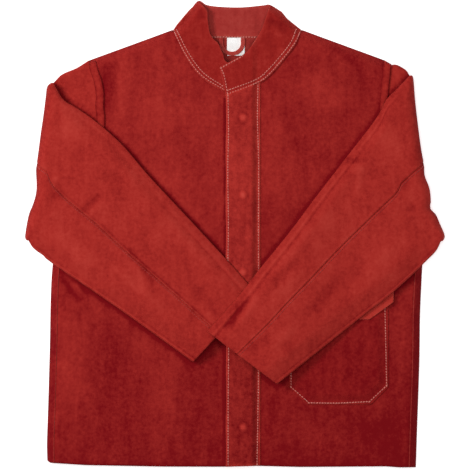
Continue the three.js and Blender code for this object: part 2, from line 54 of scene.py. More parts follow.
BODY_TOP = 14.0
EDGE_TOP = 3.1
EDGE_ROLL = 18.0
SIDE_LAP = 12.0
LAP_TOP_Y = -5.0
HEM_Y = -407.6
HEM_REACH = 70.0
HEM = [(-331, -396), (-324, -401.8), (-262, -405.8), (-125, -408.4), (-19, -408.6), (37, -407), (114, -409),
       (264, -408), (288, -409.8), (318, -409.6)]
RIGHT_SIDE = [(-329, -407.6), (-329.5, -368), (-327, -287), (-324.4, -193), (-323, -116), (-320, -60),
              (-311.5, 9.4)]
LEFT_SIDE = [(317, -407.6), (319, -347), (323, -230), (324.3, -144), (327, -81), (328.5, -40), (326, 11.4)]
RIGHT_ARMHOLE = [(-255.9, 303.2), (-252, 287), (-245, 266), (-241.5, 244), (-242, 221), (-240, 195),
                 (-247, 140), (-268, 75), (-311.5, 9.4)]
LEFT_ARMHOLE = [(263, 303.2), (259.5, 260), (256, 222), (257, 190), (263, 130), (283, 70), (326, 11.4)]
RIGHT_NECK = (-107.8, 357.2)
LEFT_NECK = (115.5, 357.2)
SHOULDERS = [(RIGHT_ARMHOLE[0], RIGHT_NECK), (LEFT_ARMHOLE[0], LEFT_NECK)]
NECK_FOOT_Y = 345.2
NECK_FOOT_RISE = 11.0
NECK_CENTRE_X = 3.0


def smooth(t):
    t = np.clip(t, 0, 1)
    return t * t * (3 - 2 * t)


def mix(a, b, t):
    return a + (b - a) * t


def curve(points, shares):
    """Points at the given shares of the length of a smooth curve through the points."""
    p = np.array(points, float)
    p = np.vstack([2 * p[0] - p[1], p, 2 * p[-1] - p[-2]])
    t = np.linspace(0, 1, 24, endpoint=False)[:, None]
    spans = [
        0.5 * (2 * b + (c - a) * t + (2 * a - 5 * b + 4 * c - d) * t**2 + (3 * b - a - 3 * c + d) * t**3)
        for a, b, c, d in zip(p[:-3], p[1:-2], p[2:-1], p[3:])
    ]
    dense = np.vstack(spans + [p[-2][None]])
    run = np.concatenate([[0], np.cumsum(np.linalg.norm(np.diff(dense, axis=0), axis=1))])
    at = np.asarray(shares, float) * run[-1]
    return np.stack([np.interp(at, run, dense[:, i]) for i in range(dense.shape[1])], axis=-1)


def x_at(points, y):
    """x where a smooth curve, listed by rising or falling y, has the given y."""
    dense = curve(points, np.linspace(0, 1, 200))
    order = np.argsort(dense[:, 1])
    return np.interp(y, dense[order, 1], dense[order, 0])


def distance_to(line, x, y):
    """Distance to a line of straight stretches."""
    least = np.full(np.shape(x), np.inf)
    for (ax, ay), (bx, by) in zip(line[:-1], line[1:]):
        dx, dy = bx - ax, by - ay
        t = np.clip(((x - ax) * dx + (y - ay) * dy) / (dx * dx + dy * dy), 0, 1)
        least = np.minimum(least, np.hypot(x - ax - t * dx, y - ay - t * dy))
    return least


def to_nearest(lines, x, y):
    return np.min([distance_to(line, x, y) for line in lines], axis=0)


def rolled_edge(inset, top=BODY_TOP):
    """Height of the flattened body at a distance inside its edge, where it rolls down to the table."""
    return EDGE_TOP + (top - EDGE_TOP) * np.sin(np.pi / 2 * np.clip(inset / EDGE_ROLL, 0, 1))


def creases(x, y, lines):
    """Soft ridges and valleys along straight lines, each (x0, y0, x1, y1, half width, height)."""
    total = np.zeros(np.shape(x))
    for x0, y0, x1, y1, width, height in lines:
        dx, dy = x1 - x0, y1 - y0
        t = np.clip(((x - x0) * dx + (y - y0) * dy) / (dx * dx + dy * dy), 0, 1)
        away = np.hypot(x - x0 - t * dx, y - y0 - t * dy)
        total += height * (1 - np.abs(2 * t - 1) ** 3) * np.exp(-((away / width) ** 2))
    return total


def swell(x, y, size):
    """The slow unevenness of leather that lies loose, between -1 and 1."""
    wave = np.sin(x / size + 1.3 * np.sin(0.83 * y / size + 0.4))
    return wave * np.cos(1.21 * y / size + 1.1 * np.sin(0.71 * x / size + 2.0))


def linear(red, green, blue):
    """A colour given in 0..255 as the shader's linear values."""
    channels = [c / 255 for c in (red, green, blue)]
    return [c / 12.92 if c <= 0.04045 else ((c + 0.055) / 1.055) ** 2.4 for c in channels] + [1.0]


def new_group(name, tree_kind, inputs, outputs):
    """An empty node group, with (name, kind, default) inputs and (name, kind) outputs."""
    group = bpy.data.node_groups.new(name, tree_kind)
    for label, kind, default in inputs:
        socket = group.interface.new_socket(label, in_out="INPUT", socket_type="NodeSocket" + kind)
        if default is not None:
            socket.default_value = default
    for label, kind in outputs:
        group.interface.new_socket(label, in_out="OUTPUT", socket_type="NodeSocket" + kind)
    return group, group.nodes.new("NodeGroupInput"), group.nodes.new("NodeGroupOutput")


def noise(tree, source, scale, detail, roughness=0.6, distortion=0.0):
    node = tree.nodes.new("ShaderNodeTexNoise")
    node.inputs["Scale"].default_value = scale
    node.inputs["Detail"].default_value = detail
    node.inputs["Roughness"].default_value = roughness
    node.inputs["Distortion"].default_value = distortion
    tree.links.new(source, node.inputs["Vector"])
    return node.outputs["Fac"]


def feed(tree, value, socket):
    """Gives a socket a number or a colour, or another node's output."""
    if isinstance(value, (float, list)):
        socket.default_value = value
    else:
        tree.links.new(value, socket)


def calculated(tree, operation, *values):
    node = tree.nodes.new("ShaderNodeMath")
    node.operation = operation
    for socket, value in zip(node.inputs, values):
        feed(tree, value, socket)
    return node.outputs[0]


def weighed(tree, terms):
    """The sum of (value, weight) pairs."""
    total = 0.0
    for value, weight in terms:
        total = calculated(tree, "MULTIPLY_ADD", value, weight, total)
    return total


def colour_mix(tree, factor, first, second):
    node = tree.nodes.new("ShaderNodeMix")
    node.data_type = "RGBA"
    for socket, value in ((0, factor), (6, first), (7, second)):
        feed(tree, value, node.inputs[socket])
    return node.outputs[2]


def ranged(tree, value, low, high, to_low=0.0, to_high=1.0):
    node = tree.nodes.new("ShaderNodeMapRange")
    tree.links.new(value, node.inputs["Value"])
    node.inputs["From Min"].default_value = low
    node.inputs["From Max"].default_value = high
    node.inputs["To Min"].default_value = to_low
    node.inputs["To Max"].default_value = to_high
    return node.outputs[0]


MOTTLE_GAIN = 4.7


def suede_nap_group():
    """Brushed split leather: clouds where the nap lies differently, tufts, fine fibres, the wear and painted
    shading stored on the mesh, and a painted shade towards the lower right and the top.
    """
    group, inward, outward = new_group(
        "suede_nap",
        "ShaderNodeTree",
        [
            ("Deep", "Color", (0.1, 0.01, 0.01, 1)),
            ("Body", "Color", (0.3, 0.02, 0.02, 1)),
            ("Raised", "Color", (0.4, 0.05, 0.04, 1)),
            ("Cloud Strength", "Float", 1.0),
            ("Painted Shade", "Float", 0.0),
        ],
        [("Color", "Color"), ("Height", "Float"), ("Roughness", "Float")],
    )
    place = group.nodes.new("ShaderNodeTexCoord").outputs["Object"]
    brushed = group.nodes.new("ShaderNodeMapping")
    brushed.inputs["Rotation"].default_value = (0, 0, math.radians(12))
    brushed.inputs["Scale"].default_value = (2.6, 0.55, 1.0)
    group.links.new(place, brushed.inputs["Vector"])
    clouds = noise(group, place, 9, 4, 0.55, 0.5)
    patches = noise(group, place, 42, 5, 0.62, 0.3)
    streaks = noise(group, brushed.outputs[0], 34, 4, 0.6)
    tufts = noise(group, place, 160, 5, 0.72)
    fibres = noise(group, place, 900, 3, 0.65)
    # Tone per point from the mesh: rubbed edges lighter as real wear, plus painted shade and painted
    # highlights at creases, seams, rolled edges and beside the sleeves.
    wear_and_painted_shading = group.nodes.new("ShaderNodeAttribute")
    wear_and_painted_shading.attribute_name = "wear_and_painted_shading"
    depth = group.nodes.new("ShaderNodeSeparateXYZ")
    group.links.new(place, depth.inputs[0])
    # Painted shade: darker towards the bottom and the right, in place of the light falling off across the
    # jacket, and a little darker towards the top.
    lower = ranged(group, depth.outputs["Y"], 0.30, -0.41)
    upper = ranged(group, depth.outputs["Y"], 0.10, 0.30)
    lateral = ranged(group, depth.outputs["X"], -0.33, 0.33)
    painted_falloff = weighed(group, [(lower, 0.72), (upper, 0.32), (lateral, 0.28)])
    painted_shade = calculated(group, "MULTIPLY", painted_falloff, inward.outputs["Painted Shade"])
    cloudy = weighed(group, [(clouds, 0.13), (patches, 0.20), (streaks, 0.20), (tufts, 0.35), (fibres, 0.12)])
    centred = calculated(group, "SUBTRACT", cloudy, 0.5)
    mottle = calculated(group, "MULTIPLY", centred, inward.outputs["Cloud Strength"])
    tone = weighed(group, [(mottle, MOTTLE_GAIN), (wear_and_painted_shading.outputs["Fac"], 1.0), (painted_shade, -1.0)])
    dark = ranged(group, tone, -1.0, 0.0)
    light = ranged(group, tone, 0.0, 1.0)
    base = colour_mix(group, dark, inward.outputs["Deep"], inward.outputs["Body"])
    colour = colour_mix(group, light, base, inward.outputs["Raised"])
    height = weighed(group, [(patches, 0.35), (tufts, 0.4), (fibres, 0.25)])
    rough = ranged(group, tufts, 0.3, 0.7, 0.98, 0.86)
    group.links.new(colour, outward.inputs["Color"])
    group.links.new(height, outward.inputs["Height"])
    group.links.new(rough, outward.inputs["Roughness"])
    return group


SUEDE_NAP = suede_nap_group()


def new_material(name, settings):
    """A material, its node tree and its shader, with some of the shader's inputs set."""
    material = bpy.data.materials.new(name)
    material.use_nodes = True
    shader = material.node_tree.nodes["Principled BSDF"]
    for label, value in settings.items():
        shader.inputs[label].default_value = value
    return material, material.node_tree, shader


def bumped(tree, shader, height, strength, distance):
    bump = tree.nodes.new("ShaderNodeBump")
    bump.inputs["Strength"].default_value = strength
    bump.inputs["Distance"].default_value = distance
    tree.links.new(height, bump.inputs["Height"])
    tree.links.new(bump.outputs["Normal"], shader.inputs["Normal"])


def suede(name, deep, body, raised, clouds=1.0, painted_shade_strength=0.0, nap=0.45):
    """A material of split leather, with its three tones in 0..255 and the strength of its painted shade
    towards the lower right.
    """
    sheen = {"Sheen Weight": 0.08, "Sheen Roughness": 0.5, "Sheen Tint": linear(228, 120, 104)}
    material, tree, shader = new_material(name, {"Specular IOR Level": 0.08, **sheen})
    surface = tree.nodes.new("ShaderNodeGroup")
    surface.node_tree = SUEDE_NAP
    shades = (linear(*deep), linear(*body), linear(*raised))
    for socket, value in zip(surface.inputs, (*shades, clouds, painted_shade_strength)):
        socket.default_value = value
    tree.links.new(surface.outputs["Color"], shader.inputs["Base Color"])
    tree.links.new(surface.outputs["Roughness"], shader.inputs["Roughness"])
    bumped(tree, shader, surface.outputs["Height"], nap, 0.0009)
    return material


# After each suede's three tones come its cloud strength, the strength of its painted shade towards the lower
# right, and its nap.
BODY_SUEDE = suede("body_suede", (116, 7, 15), (158, 39, 34), (180, 60, 50), 0.9, 0.95)
FLESH_SIDE = suede("flesh_side", (112, 24, 24), (148, 46, 41), (174, 76, 68), 1.1, 0.0, 0.6)
CUT_EDGE = suede("cut_edge", (128, 40, 34), (168, 66, 56), (198, 104, 92), 1.2, 0.0, 0.8)


def grid_mesh(name, points, wear_and_painted_shading, up):
    """A grid of points in millimetres, rows by columns, as a mesh whose faces look up or down."""
    rows, columns = points.shape[:2]
    index = np.arange(rows * columns).reshape(rows, columns)
    corners = [index[:-1, :-1], index[1:, :-1], index[1:, 1:], index[:-1, 1:]]
    quads = np.stack(corners, axis=-1).reshape(-1, 4)
    flat = points.reshape(-1, 3) * MM
    normals = np.cross(flat[quads[:, 2]] - flat[quads[:, 0]], flat[quads[:, 3]] - flat[quads[:, 1]])
    heights = flat[quads].mean(axis=1)[:, 2]
    outermost = heights >= heights.max() - MM if up else heights <= heights.min() + MM
    if (normals[outermost, 2].sum() > 0) != up:
        quads = quads[:, ::-1]
    mesh = bpy.data.meshes.new(name)
    mesh.from_pydata(flat.tolist(), [], quads.tolist())
    mesh.polygons.foreach_set("use_smooth", [True] * len(quads))
    # Stored tone per point: real wear at rubbed edges, and painted shade and highlights.
    attribute = mesh.attributes.new("wear_and_painted_shading", "FLOAT", "POINT")
    attribute.data.foreach_set("value", np.clip(wear_and_painted_shading, -1, 1).astype(np.float32).ravel())
    return mesh


def edge_wear_and_shade(points, strength, reach=3.0):
    """Lighter towards edges that are cut and rubbed, which is real wear; with a negative strength, darker
    towards edges that roll down into a seam, which is painted shade.
    """
    gaps = []
    for axis in (0, 1):
        run = np.linalg.norm(np.diff(points, axis=axis), axis=-1)
        pad = [(0, 0), (0, 0)]
        pad[axis] = (1, 0)
        forward = np.cumsum(np.pad(run, pad), axis=axis)
        gaps += [forward, np.take(forward, [-1], axis=axis) - forward]
    return strength * np.exp(-np.min(gaps, axis=0) / reach)


def leather_piece(name, points, outer, wear_and_painted_shading=0.0, up=True, thickness=LEATHER, edge=0.7, inner=FLESH_SIDE,
                  rim=CUT_EDGE):
    """A sheet of leather whose outer face is the grid, with its flesh side and its cut rim."""
    # Edge strength: positive for rubbed cut edges, negative for painted shade along edges that roll down.
    mesh = grid_mesh(name, points, edge_wear_and_shade(points, edge) + wear_and_painted_shading, up)
    piece = bpy.data.objects.new(name, mesh)
    bpy.context.scene.collection.objects.link(piece)
    for material in (outer, inner, rim):
        mesh.materials.append(material)
    shell = piece.modifiers.new("thickness", "SOLIDIFY")
    shell.thickness = thickness * MM
    shell.offset = -1
    shell.material_offset = 1
    shell.material_offset_rim = 2
    return piece


def hem_pull(x, y):
    """How far the hem's own curve moves a point that lies near it."""
    order = sorted(HEM)
    target = np.interp(x, [p[0] for p in order], [p[1] for p in order])
    return (target - HEM_Y) * (1 - smooth((y - HEM_Y) / HEM_REACH))


def shoulder_x(half_neck, half_armhole, y):
    top = half_armhole[0]
    return mix(top[0], half_neck[0], (y - top[1]) / (half_neck[1] - top[1]))


def outline_x(side, armhole, neck, y):
    """Outer edge of one half of the body at each y: side seam, armhole, then shoulder."""
    x = np.where(y < armhole[-1][1], x_at(side, y), x_at(armhole, y))
    return np.where(y > armhole[0][1], shoulder_x(neck, armhole, y), x)


SIDE_TURN = np.array([(0.5, 4.4), (0.1, 3.4), (0.0, 2.3), (0.25, 1.1), (1.2, 0.3), (3.0, 0.0)])


def rolled_side(y, side_x, sign):
    """The section where the back turns up round one side, from its lap on the front to the table."""
    lap = smooth((LAP_TOP_Y - y) / 16)
    lapped = np.linspace(1, 0.12, 8) * SIDE_LAP
    inset = np.concatenate([lapped, SIDE_TURN[:, 0]])
    level = np.concatenate([LAYER + rolled_edge(lapped), SIDE_TURN[:, 1]])
    level[0] += 0.3
    unturned = np.linspace(0.3, 3.0, len(inset))
    return side_x + sign * mix(unturned, inset, lap), level * lap


def neck_foot(x):
    """y of the back neck seam, which rises towards the shoulders."""
    return NECK_FOOT_Y + NECK_FOOT_RISE * smooth((np.abs(x - NECK_CENTRE_X) - 40) / 66)


BACK_NECK_Y = (340.0, 356.0)
back_rows = []
back_levels = np.concatenate([np.linspace(HEM_Y, 5, 96), np.linspace(9, 303, 66),
                              np.linspace(307, BACK_NECK_Y[0], 9), np.linspace(343, BACK_NECK_Y[1], 6)])
for y in back_levels:
    right_x = float(outline_x(RIGHT_SIDE, RIGHT_ARMHOLE, RIGHT_NECK, y))
    left_x = float(outline_x(LEFT_SIDE, LEFT_ARMHOLE, LEFT_NECK, y))
    rx, rz = rolled_side(y, right_x, 1)
    lx, lz = rolled_side(y, left_x, -1)
    across = np.linspace(rx[-1], lx[-1], 82)[1:-1]
    xs = np.concatenate([rx, across, lx[::-1]])
    zs = np.concatenate([rz, np.zeros(len(across)), lz[::-1]])
    ys = y + hem_pull(xs, y)
    if y > BACK_NECK_Y[0]:
        ys = mix(BACK_NECK_Y[0], neck_foot(xs), (y - BACK_NECK_Y[0]) / (BACK_NECK_Y[1] - BACK_NECK_Y[0]))
    back_rows.append(np.stack([xs, ys, zs], axis=-1))
back_points = np.array(back_rows)
back_painted_shade = np.zeros(back_points.shape[:2])
# Painted shade: the sides where the back turns up round the body are painted darker.
for turned_up in (slice(1, 13), slice(-13, -1)):
    back_painted_shade[:, turned_up] = -0.35
back_panel = leather_piece("back_panel_leather", back_points, BODY_SUEDE, back_painted_shade, up=False, edge=0.25,
                           rim=FLESH_SIDE)
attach(back_panel, "torso")
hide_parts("back_panel")

# ---- Fronts ---------------------------------------------------------------------------------------
# Two fronts of the same leather. They roll down to the back along the side and shoulder seams, and
# lie slightly uneven. The right front runs on under the button stand, the left one stops beside it.
RIGHT_NECKLINE = [(-107.8, 357.2), (-85.8, 312.4), (-59.5, 277.3), (-21, 252.8), (34.2, 243.4)]
LEFT_NECKLINE = [(115.5, 357.2), (104.1, 332.4), (81.9, 303.4), (57.4, 276.7), (40.2, 265.4), (-15.8, 243.4)]
RIGHT_FRONT_EDGE_X = 34.2
LEFT_FRONT_EDGE_X = 36.2
LEFT_FRONT_TOP_Y = 262.0
STAND_CENTRE_X = 14.0
POCKET_CENTRE = (181.0, -150.0)
BODY_FOLDS = [
    (-222, 308, -230, 190, 15, -1.5),
    (-190, 316, -206, 196, 13, 0.9),
    (-258, -58, -268, -120, 6, -2.0),
    (-313, -66, -270, -122, 5, -1.9),
    (-300, -60, -262, -112, 6, 1.2),
    (-215, -150, -225, -330, 26, -0.6),
    (-130, -160, -120, -380, 30, 0.6),
    (-285, -130, -300, -330, 30, 0.9),
    (-160, 250, -60, 150, 34, 0.8),
    (-110, 220, -60, 90, 20, -0.6),
    (205, 318, 236, 240, 10, -1.0),
    (160, 330, 214, 300, 8, -1.0),
    (120, 290, 190, 210, 26, 0.8),
    (100, 200, 150, 120, 24, -0.4),
    (70, 250, 62, 60, 18, 0.6),
    (300, -90, 290, -260, 14, 0.6),
    (285, -300, 250, -395, 22, -0.5),
    (80, -320, 200, -385, 30, 0.5),
]
RIGHT_SLEEVE_UPPER = [(-317, 262), (-300, 233.5), (-277.4, 219.5), (-241.5, 194.3), (-197, 154.7),
                      (-148.8, 98.7), (-75.2, 20), (-12.2, -48.3), (15.8, -79.8), (38.5, -104.3)]
RIGHT_SLEEVE_LOWER = [(-361, -14), (-352.3, -27.3), (-334.4, -40.1), (-320.2, -52), (-201.2, -133.3),
                      (-73.5, -225)]
LEFT_SLEEVE_UPPER = [(304.7, 275.8), (277.4, 247.8), (264.2, 233.5), (245, 198.5), (192.5, 130.2), (140, 62),
                     (92.8, -1), (45.5, -58.8), (8.8, -106), (-49, -170.8)]
LEFT_SLEEVE_LOWER = [(361, -16), (351.8, -33), (331.8, -52), (271.2, -107.8), (224, -144.5), (73.5, -263.5)]
PROPPED = 5.0


def under_sleeve(x, y):
    """Distance inside the outline of the nearer sleeve that lies on the front, negative outside it."""
    deepest = np.full(np.shape(x), -1e3)
    for upper, lower in ((RIGHT_SLEEVE_UPPER, RIGHT_SLEEVE_LOWER), (LEFT_SLEEVE_UPPER, LEFT_SLEEVE_LOWER)):
        above, below = sorted(upper), sorted(lower + [upper[-1]])
        from_above = np.interp(x, [p[0] for p in above], [p[1] for p in above]) - y
        from_below = y - np.interp(x, [p[0] for p in below], [p[1] for p in below])
        ends = [p[0] for p in above + below]
        within = np.minimum(x - min(ends), max(ends) - x)
        inside = np.minimum(0.7 * np.minimum(from_above, from_below), within)
        deepest = np.maximum(deepest, inside)
    return deepest


def front_top(x, y):
    """Height of the outer face of the fronts, propped up a little under the sleeves."""
    inward = to_nearest([RIGHT_SIDE, LEFT_SIDE, *SHOULDERS], x, y)
    armholes = to_nearest([RIGHT_ARMHOLE, LEFT_ARMHOLE], x, y)
    from_stand = np.abs(x - STAND_CENTRE_X)
    from_pocket = np.hypot(x - POCKET_CENTRE[0], y - POCKET_CENTRE[1])
    calm = (1 - 0.85 * np.exp(-((from_stand / 42) ** 2))) * (1 - 0.75 * np.exp(-((from_pocket / 105) ** 4)))
    uneven = 0.8 * swell(x, y, 33) + 0.45 * swell(x + 50, y - 20, 14) + creases(x, y, BODY_FOLDS)
    clear = smooth((inward - 16) / 20) * smooth((armholes - 14) / 14) * smooth((from_stand - 36) / 14)
    clear = clear * (1 - np.exp(-((from_pocket / 118) ** 6)))
    propped = PROPPED * smooth((under_sleeve(x, y) + 2) / 9) * clear
    return rolled_edge(inward) + uneven * calm * smooth((inward - 4) / 22) + propped


def front_painted_shading(x, y):
    """Painted shade: darker in the fold valleys and lighter on their ridges, a painted shadow beside the
    sleeves' edges, and a painted shadow in the slit beside the button stand.
    """
    sleeve_painted_shadow = np.exp(-(((under_sleeve(x, y) + 2) / 4.6) ** 2))
    stand_painted_shadow = np.exp(-(((x + 17.5) / 2.2) ** 2)) * (y < 236)
    return 0.36 * creases(x, y, BODY_FOLDS) - 0.9 * sleeve_painted_shadow - 1.1 * stand_painted_shadow


def front_grid(centre_x, neckline, side, armhole, neck, sign):
    """Plan points of one front from the hem to the shoulder, each row from the centre outwards."""
    foot_y = neckline[-1][1] if sign < 0 else LEFT_FRONT_TOP_Y
    levels = np.concatenate([np.linspace(HEM_Y, 8, 108), np.linspace(12, 300, 76),
                             np.linspace(303.5, 354.5, 16)])
    spread = np.concatenate([np.linspace(0, 0.92, 64), np.linspace(0.935, 1, 10)])
    rows = []
    for y in levels:
        inner = centre_x
        if y > foot_y:
            inner = float(x_at(neckline, y))
            inner = max(inner, centre_x) if sign > 0 else min(inner, centre_x)
        inset = 2.0 if y < LAP_TOP_Y else 0.8
        outer = float(outline_x(side, armhole, neck, y)) - sign * inset
        xs = mix(inner, outer, spread)
        ys = y + hem_pull(xs, y)
        rows.append(np.stack([xs, ys], axis=-1))
    return np.array(rows)


def raised(plan, height, extra=0.0):
    """Plan points lifted to a height."""
    x, y = plan[..., 0], plan[..., 1]
    return np.dstack([plan, height(x, y) + extra])


for side, width, share, grid in (
    ("right", 372, 0.83,
     front_grid(RIGHT_FRONT_EDGE_X, RIGHT_NECKLINE, RIGHT_SIDE, RIGHT_ARMHOLE, RIGHT_NECK, -1)),
    ("left", 295, 0.86,
     front_grid(LEFT_FRONT_EDGE_X, LEFT_NECKLINE[:-1], LEFT_SIDE, LEFT_ARMHOLE, LEFT_NECK, 1)),
):
    # Painted shade on the fronts: folds, shadows beside the sleeves and the button stand, and edges painted
    # darker where they roll down to the back.
    wear_and_painted_shading = front_painted_shading(grid[..., 0], grid[..., 1])
    front = leather_piece(f"{side}_front_leather", raised(grid, front_top), BODY_SUEDE, wear_and_painted_shading, edge=-0.6)
    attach(front, "torso")
    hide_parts(f"{side}_front_panel")

# ---- Facing of the right front, and the facing inside the back neck ---------------------------------
# Both are second layers sewn to the flesh side: a straight strip behind the studs, and a shield
# across the inside of the back neck that carries the label and the hanger loop.
FACING_WIDTH = 62.0
FACING_YS = (-405.0, 238.0)
SHIELD_TOP = (344.6, 79.0)
SHIELD_FOOT = (292.4, 50.0)
facing_xs = np.linspace(RIGHT_FRONT_EDGE_X - FACING_WIDTH, RIGHT_FRONT_EDGE_X, 14)
strip = np.stack(np.meshgrid(facing_xs, np.linspace(*FACING_YS, 120)), axis=-1)
facing = leather_piece("right_front_facing_leather", raised(strip, front_top, -LAYER), FLESH_SIDE)
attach(facing, "torso")
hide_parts("right_front_facing")

shield_plan = np.array([
    np.stack([np.linspace(-half_width, half_width, 60), np.full(60, y)], axis=-1)
    for y, half_width in np.linspace(SHIELD_FOOT, SHIELD_TOP, 44)
])
SHIELD_SUEDE = suede("shield_suede", (102, 20, 20), (138, 40, 36), (162, 62, 55), 1.1, 0.0)
shield_points = raised(shield_plan, lambda x, y: EDGE_TOP + 0.35 * swell(x, y, 12) * smooth((345 - y) / 20))
shield = leather_piece("back_neck_facing_leather", shield_points, SHIELD_SUEDE)
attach(shield, "torso")
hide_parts("back_neck_facing")

# ---- Collar ---------------------------------------------------------------------------------------
# A stand collar of two layers, 52 mm wide, folded flat: its back part lies face up inside the neck,
# and its two fronts fold over at the tips and lie on the fronts. The left one laps over the right.
COLLAR_BACK_TOP = [(-85.8, 379.4), (-65.5, 407), (-49.9, 400.6), (-28, 397.3), (10.5, 396.2), (48.3, 399.6),
                   (61.2, 400.6), (81.9, 388.4)]
COLLAR_BACK_FOOT_XS = (-100, 107)
RIGHT_COLLAR_FOOT = [(-108.4, 356.6), (-87.8, 311), (-61.2, 275.2), (-23, 250.6), (27, 242.6)]
RIGHT_COLLAR_TOP = [(-65.5, 407.2), (-49.7, 391.5), (-47.6, 374.7), (-44.2, 352), (-38, 340.8),
                    (-29.4, 332.5), (-21, 314), (-14, 300), (27, 284)]
LEFT_COLLAR_FOOT = [(116, 356.6), (105.9, 331), (83.8, 301.6), (59, 274.6), (40.6, 262.2), (-11, 241.2),
                    (-16.4, 240.6)]
LEFT_COLLAR_TOP = [(61.2, 400.4), (55, 381), (47.4, 359.5), (38.5, 343), (29.8, 329.7), (14.9, 313.6),
                   (-27.5, 291.2)]
RIGHT_TIP_EDGE = [(-107.8, 357.2), (-103.2, 360.5), (-85.8, 379.4), (-65.5, 407.4)]
LEFT_TIP_EDGE = [(115.5, 357.2), (99.8, 370.5), (81.9, 388.4), (61.2, 400.6)]
TIP_ROLL = 15.0
PLACKET_RAMP = (40.2, 28.2)
PLACKET_LIFT = 3.4


def placket_climb(x):
    """Share of the placket's lift at x, as it climbs from its seam onto the studs' strip."""
    return smooth((PLACKET_RAMP[0] - x) / (PLACKET_RAMP[0] - PLACKET_RAMP[1]))


def collar_back_grid(inset):
    """Rows of plan points from the neck seam to the collar's top edge, with a layer's ends set in."""
    top = curve(COLLAR_BACK_TOP, np.linspace(0, 1, 90))
    foot_x = np.linspace(COLLAR_BACK_FOOT_XS[0] + inset, COLLAR_BACK_FOOT_XS[1] - inset, 90)
    foot = np.stack([foot_x, neck_foot(foot_x)], axis=-1)
    return np.array([mix(foot, top, t) for t in np.linspace(0, 1, 26)]) + [0, -inset * 0.3]


COLLAR_INSIDE = suede("collar_inside", (118, 26, 24), (154, 46, 42), (176, 70, 62), 0.8, 0.0)
for layer, slot, inset, level, loose, outer, inner in (
    ("outer", "suede_outer", 0.0, LEATHER, 0.0, BODY_SUEDE, BODY_SUEDE),
    ("lining", "suede_inner", 1.5, LEATHER + LAYER, 0.5, COLLAR_INSIDE, FLESH_SIDE),
):
    band = raised(collar_back_grid(inset), lambda x, y: level + loose * (1 + swell(x, y, 11)))
    piece = leather_piece(f"collar_back_{layer}_leather", band, outer, inner=inner)
    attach(piece, "torso")
    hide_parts(f"collar_back_{layer}")


COLLAR_FOLDS = [
    (44, 382, 100, 352, 9, -1.3),
    (50, 350, 76, 318, 9, -0.8),
    (62, 364, 92, 336, 7, 0.8),
    (20, 300, 60, 296, 8, 0.5),
    (-92, 352, -62, 318, 9, -0.7),
    (-64, 396, -56, 372, 6, -0.8),
    (-60, 350, -44, 318, 8, 0.6),
]


def collar_height(tip_edge, lift):
    """A collar front follows the front under it, rolls down at its tip, and climbs onto the studs' strip."""

    def height(x, y):
        base = front_top(x, y)
        level = np.where(y > 300, np.maximum(base, BODY_TOP), base)
        level = mix(base, level, smooth((to_nearest(SHOULDERS, x, y) - 8) / 14))
        tip = np.sin(np.pi / 2 * np.clip(distance_to(tip_edge, x, y) / TIP_ROLL, 0, 1))
        climb = placket_climb(x)
        uneven = (0.5 * swell(x, y, 15) + creases(x, y, COLLAR_FOLDS)) * tip * (1 - climb)
        return mix(2.2, level + 2 * LAYER + lift * climb, tip) + uneven

    return height


def collar_grid(foot, top, rows=30, columns=96):
    """Rows of plan points from the collar's foot to its top edge."""
    shares = np.linspace(0, 1, columns)
    return np.array([mix(curve(foot, shares), curve(top, shares), t) for t in np.linspace(0, 1, rows)])


COLLAR_SUEDE = suede("collar_suede", (106, 6, 12), (143, 29, 25), (168, 50, 43), 1.0, 0.0)
RIGHT_HEIGHT = collar_height(RIGHT_TIP_EDGE, 0.0)
LEFT_HEIGHT = collar_height(LEFT_TIP_EDGE, PLACKET_LIFT)
right_collar = collar_grid(RIGHT_COLLAR_FOOT, RIGHT_COLLAR_TOP)
left_collar = collar_grid(LEFT_COLLAR_FOOT, LEFT_COLLAR_TOP)
for side, layer, grid, height in (
    ("right", "outer", right_collar, RIGHT_HEIGHT),
    ("right", "lining", right_collar[1:-1, 2:-1], RIGHT_HEIGHT),
    ("left", "outer", left_collar, LEFT_HEIGHT),
    ("left", "lining", left_collar[1:-1, 2:-1], LEFT_HEIGHT),
):
    if layer == "outer":
        below, outer, inner = 0.0, COLLAR_SUEDE, FLESH_SIDE
    else:
        below, outer, inner = LAYER, FLESH_SIDE, COLLAR_INSIDE
    # Painted shade and highlight: the collar fronts are painted darker in their fold valleys and lighter on
    # the ridges.
    wear_and_painted_shading = 0.4 * creases(grid[..., 0], grid[..., 1], COLLAR_FOLDS)
    rows = raised(grid, height, -below)
    piece = leather_piece(f"collar_{side}_{layer}_leather", rows, outer, wear_and_painted_shading, inner=inner)
    if side == "left":
        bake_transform(piece)
        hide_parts(f"collar_left_{layer}", f"collar_left_end_{layer}")
    else:
        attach(piece, "torso")
        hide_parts(f"collar_right_{layer}")

# ---- Button stand -----------------------------------------------------------------------------------
# A 56 mm strip of two layers on the left front that covers the snaps. Its inner edge laps 4 mm onto
# the front and is sewn there, and it bends along that seam when the jacket is opened.
STAND_TOP = [(-15.8, 243.4), (40.2, 264.9), (44.4, 267.5)]
CAP_STACK = 1.1
SNAP_YS = [202.35, 67.1, -68.1, -203.4, -338.6]
STAND_FOLDS = [(-10, 150, 30, 90, 9, 0.35), (30, 20, -8, -30, 10, -0.3), (-12, -150, 28, -190, 9, 0.3)]


def stand_top(x, y):
    """Outer face of the cover, with a soft bump over each snap cap."""
    level = front_top(x, y) + LAYER + placket_climb(x) * (PLACKET_LIFT + LAYER + CAP_STACK)
    for snap_y in SNAP_YS:
        away = np.hypot(x - STAND_CENTRE_X, y - snap_y)
        level = level + 0.9 * smooth((7.4 - away) / 3.4) - 0.3 * np.exp(-(((away - 9) / 3.5) ** 2))
    return level + creases(x, y, STAND_FOLDS)


def stand_lining_top(x, y):
    """Outer face of the facing, which lies on the studs and dips a little at its seam."""
    return front_top(x, y) + LAYER + PLACKET_LIFT * placket_climb(x) - 0.2 * smooth((x - 36) / 4)


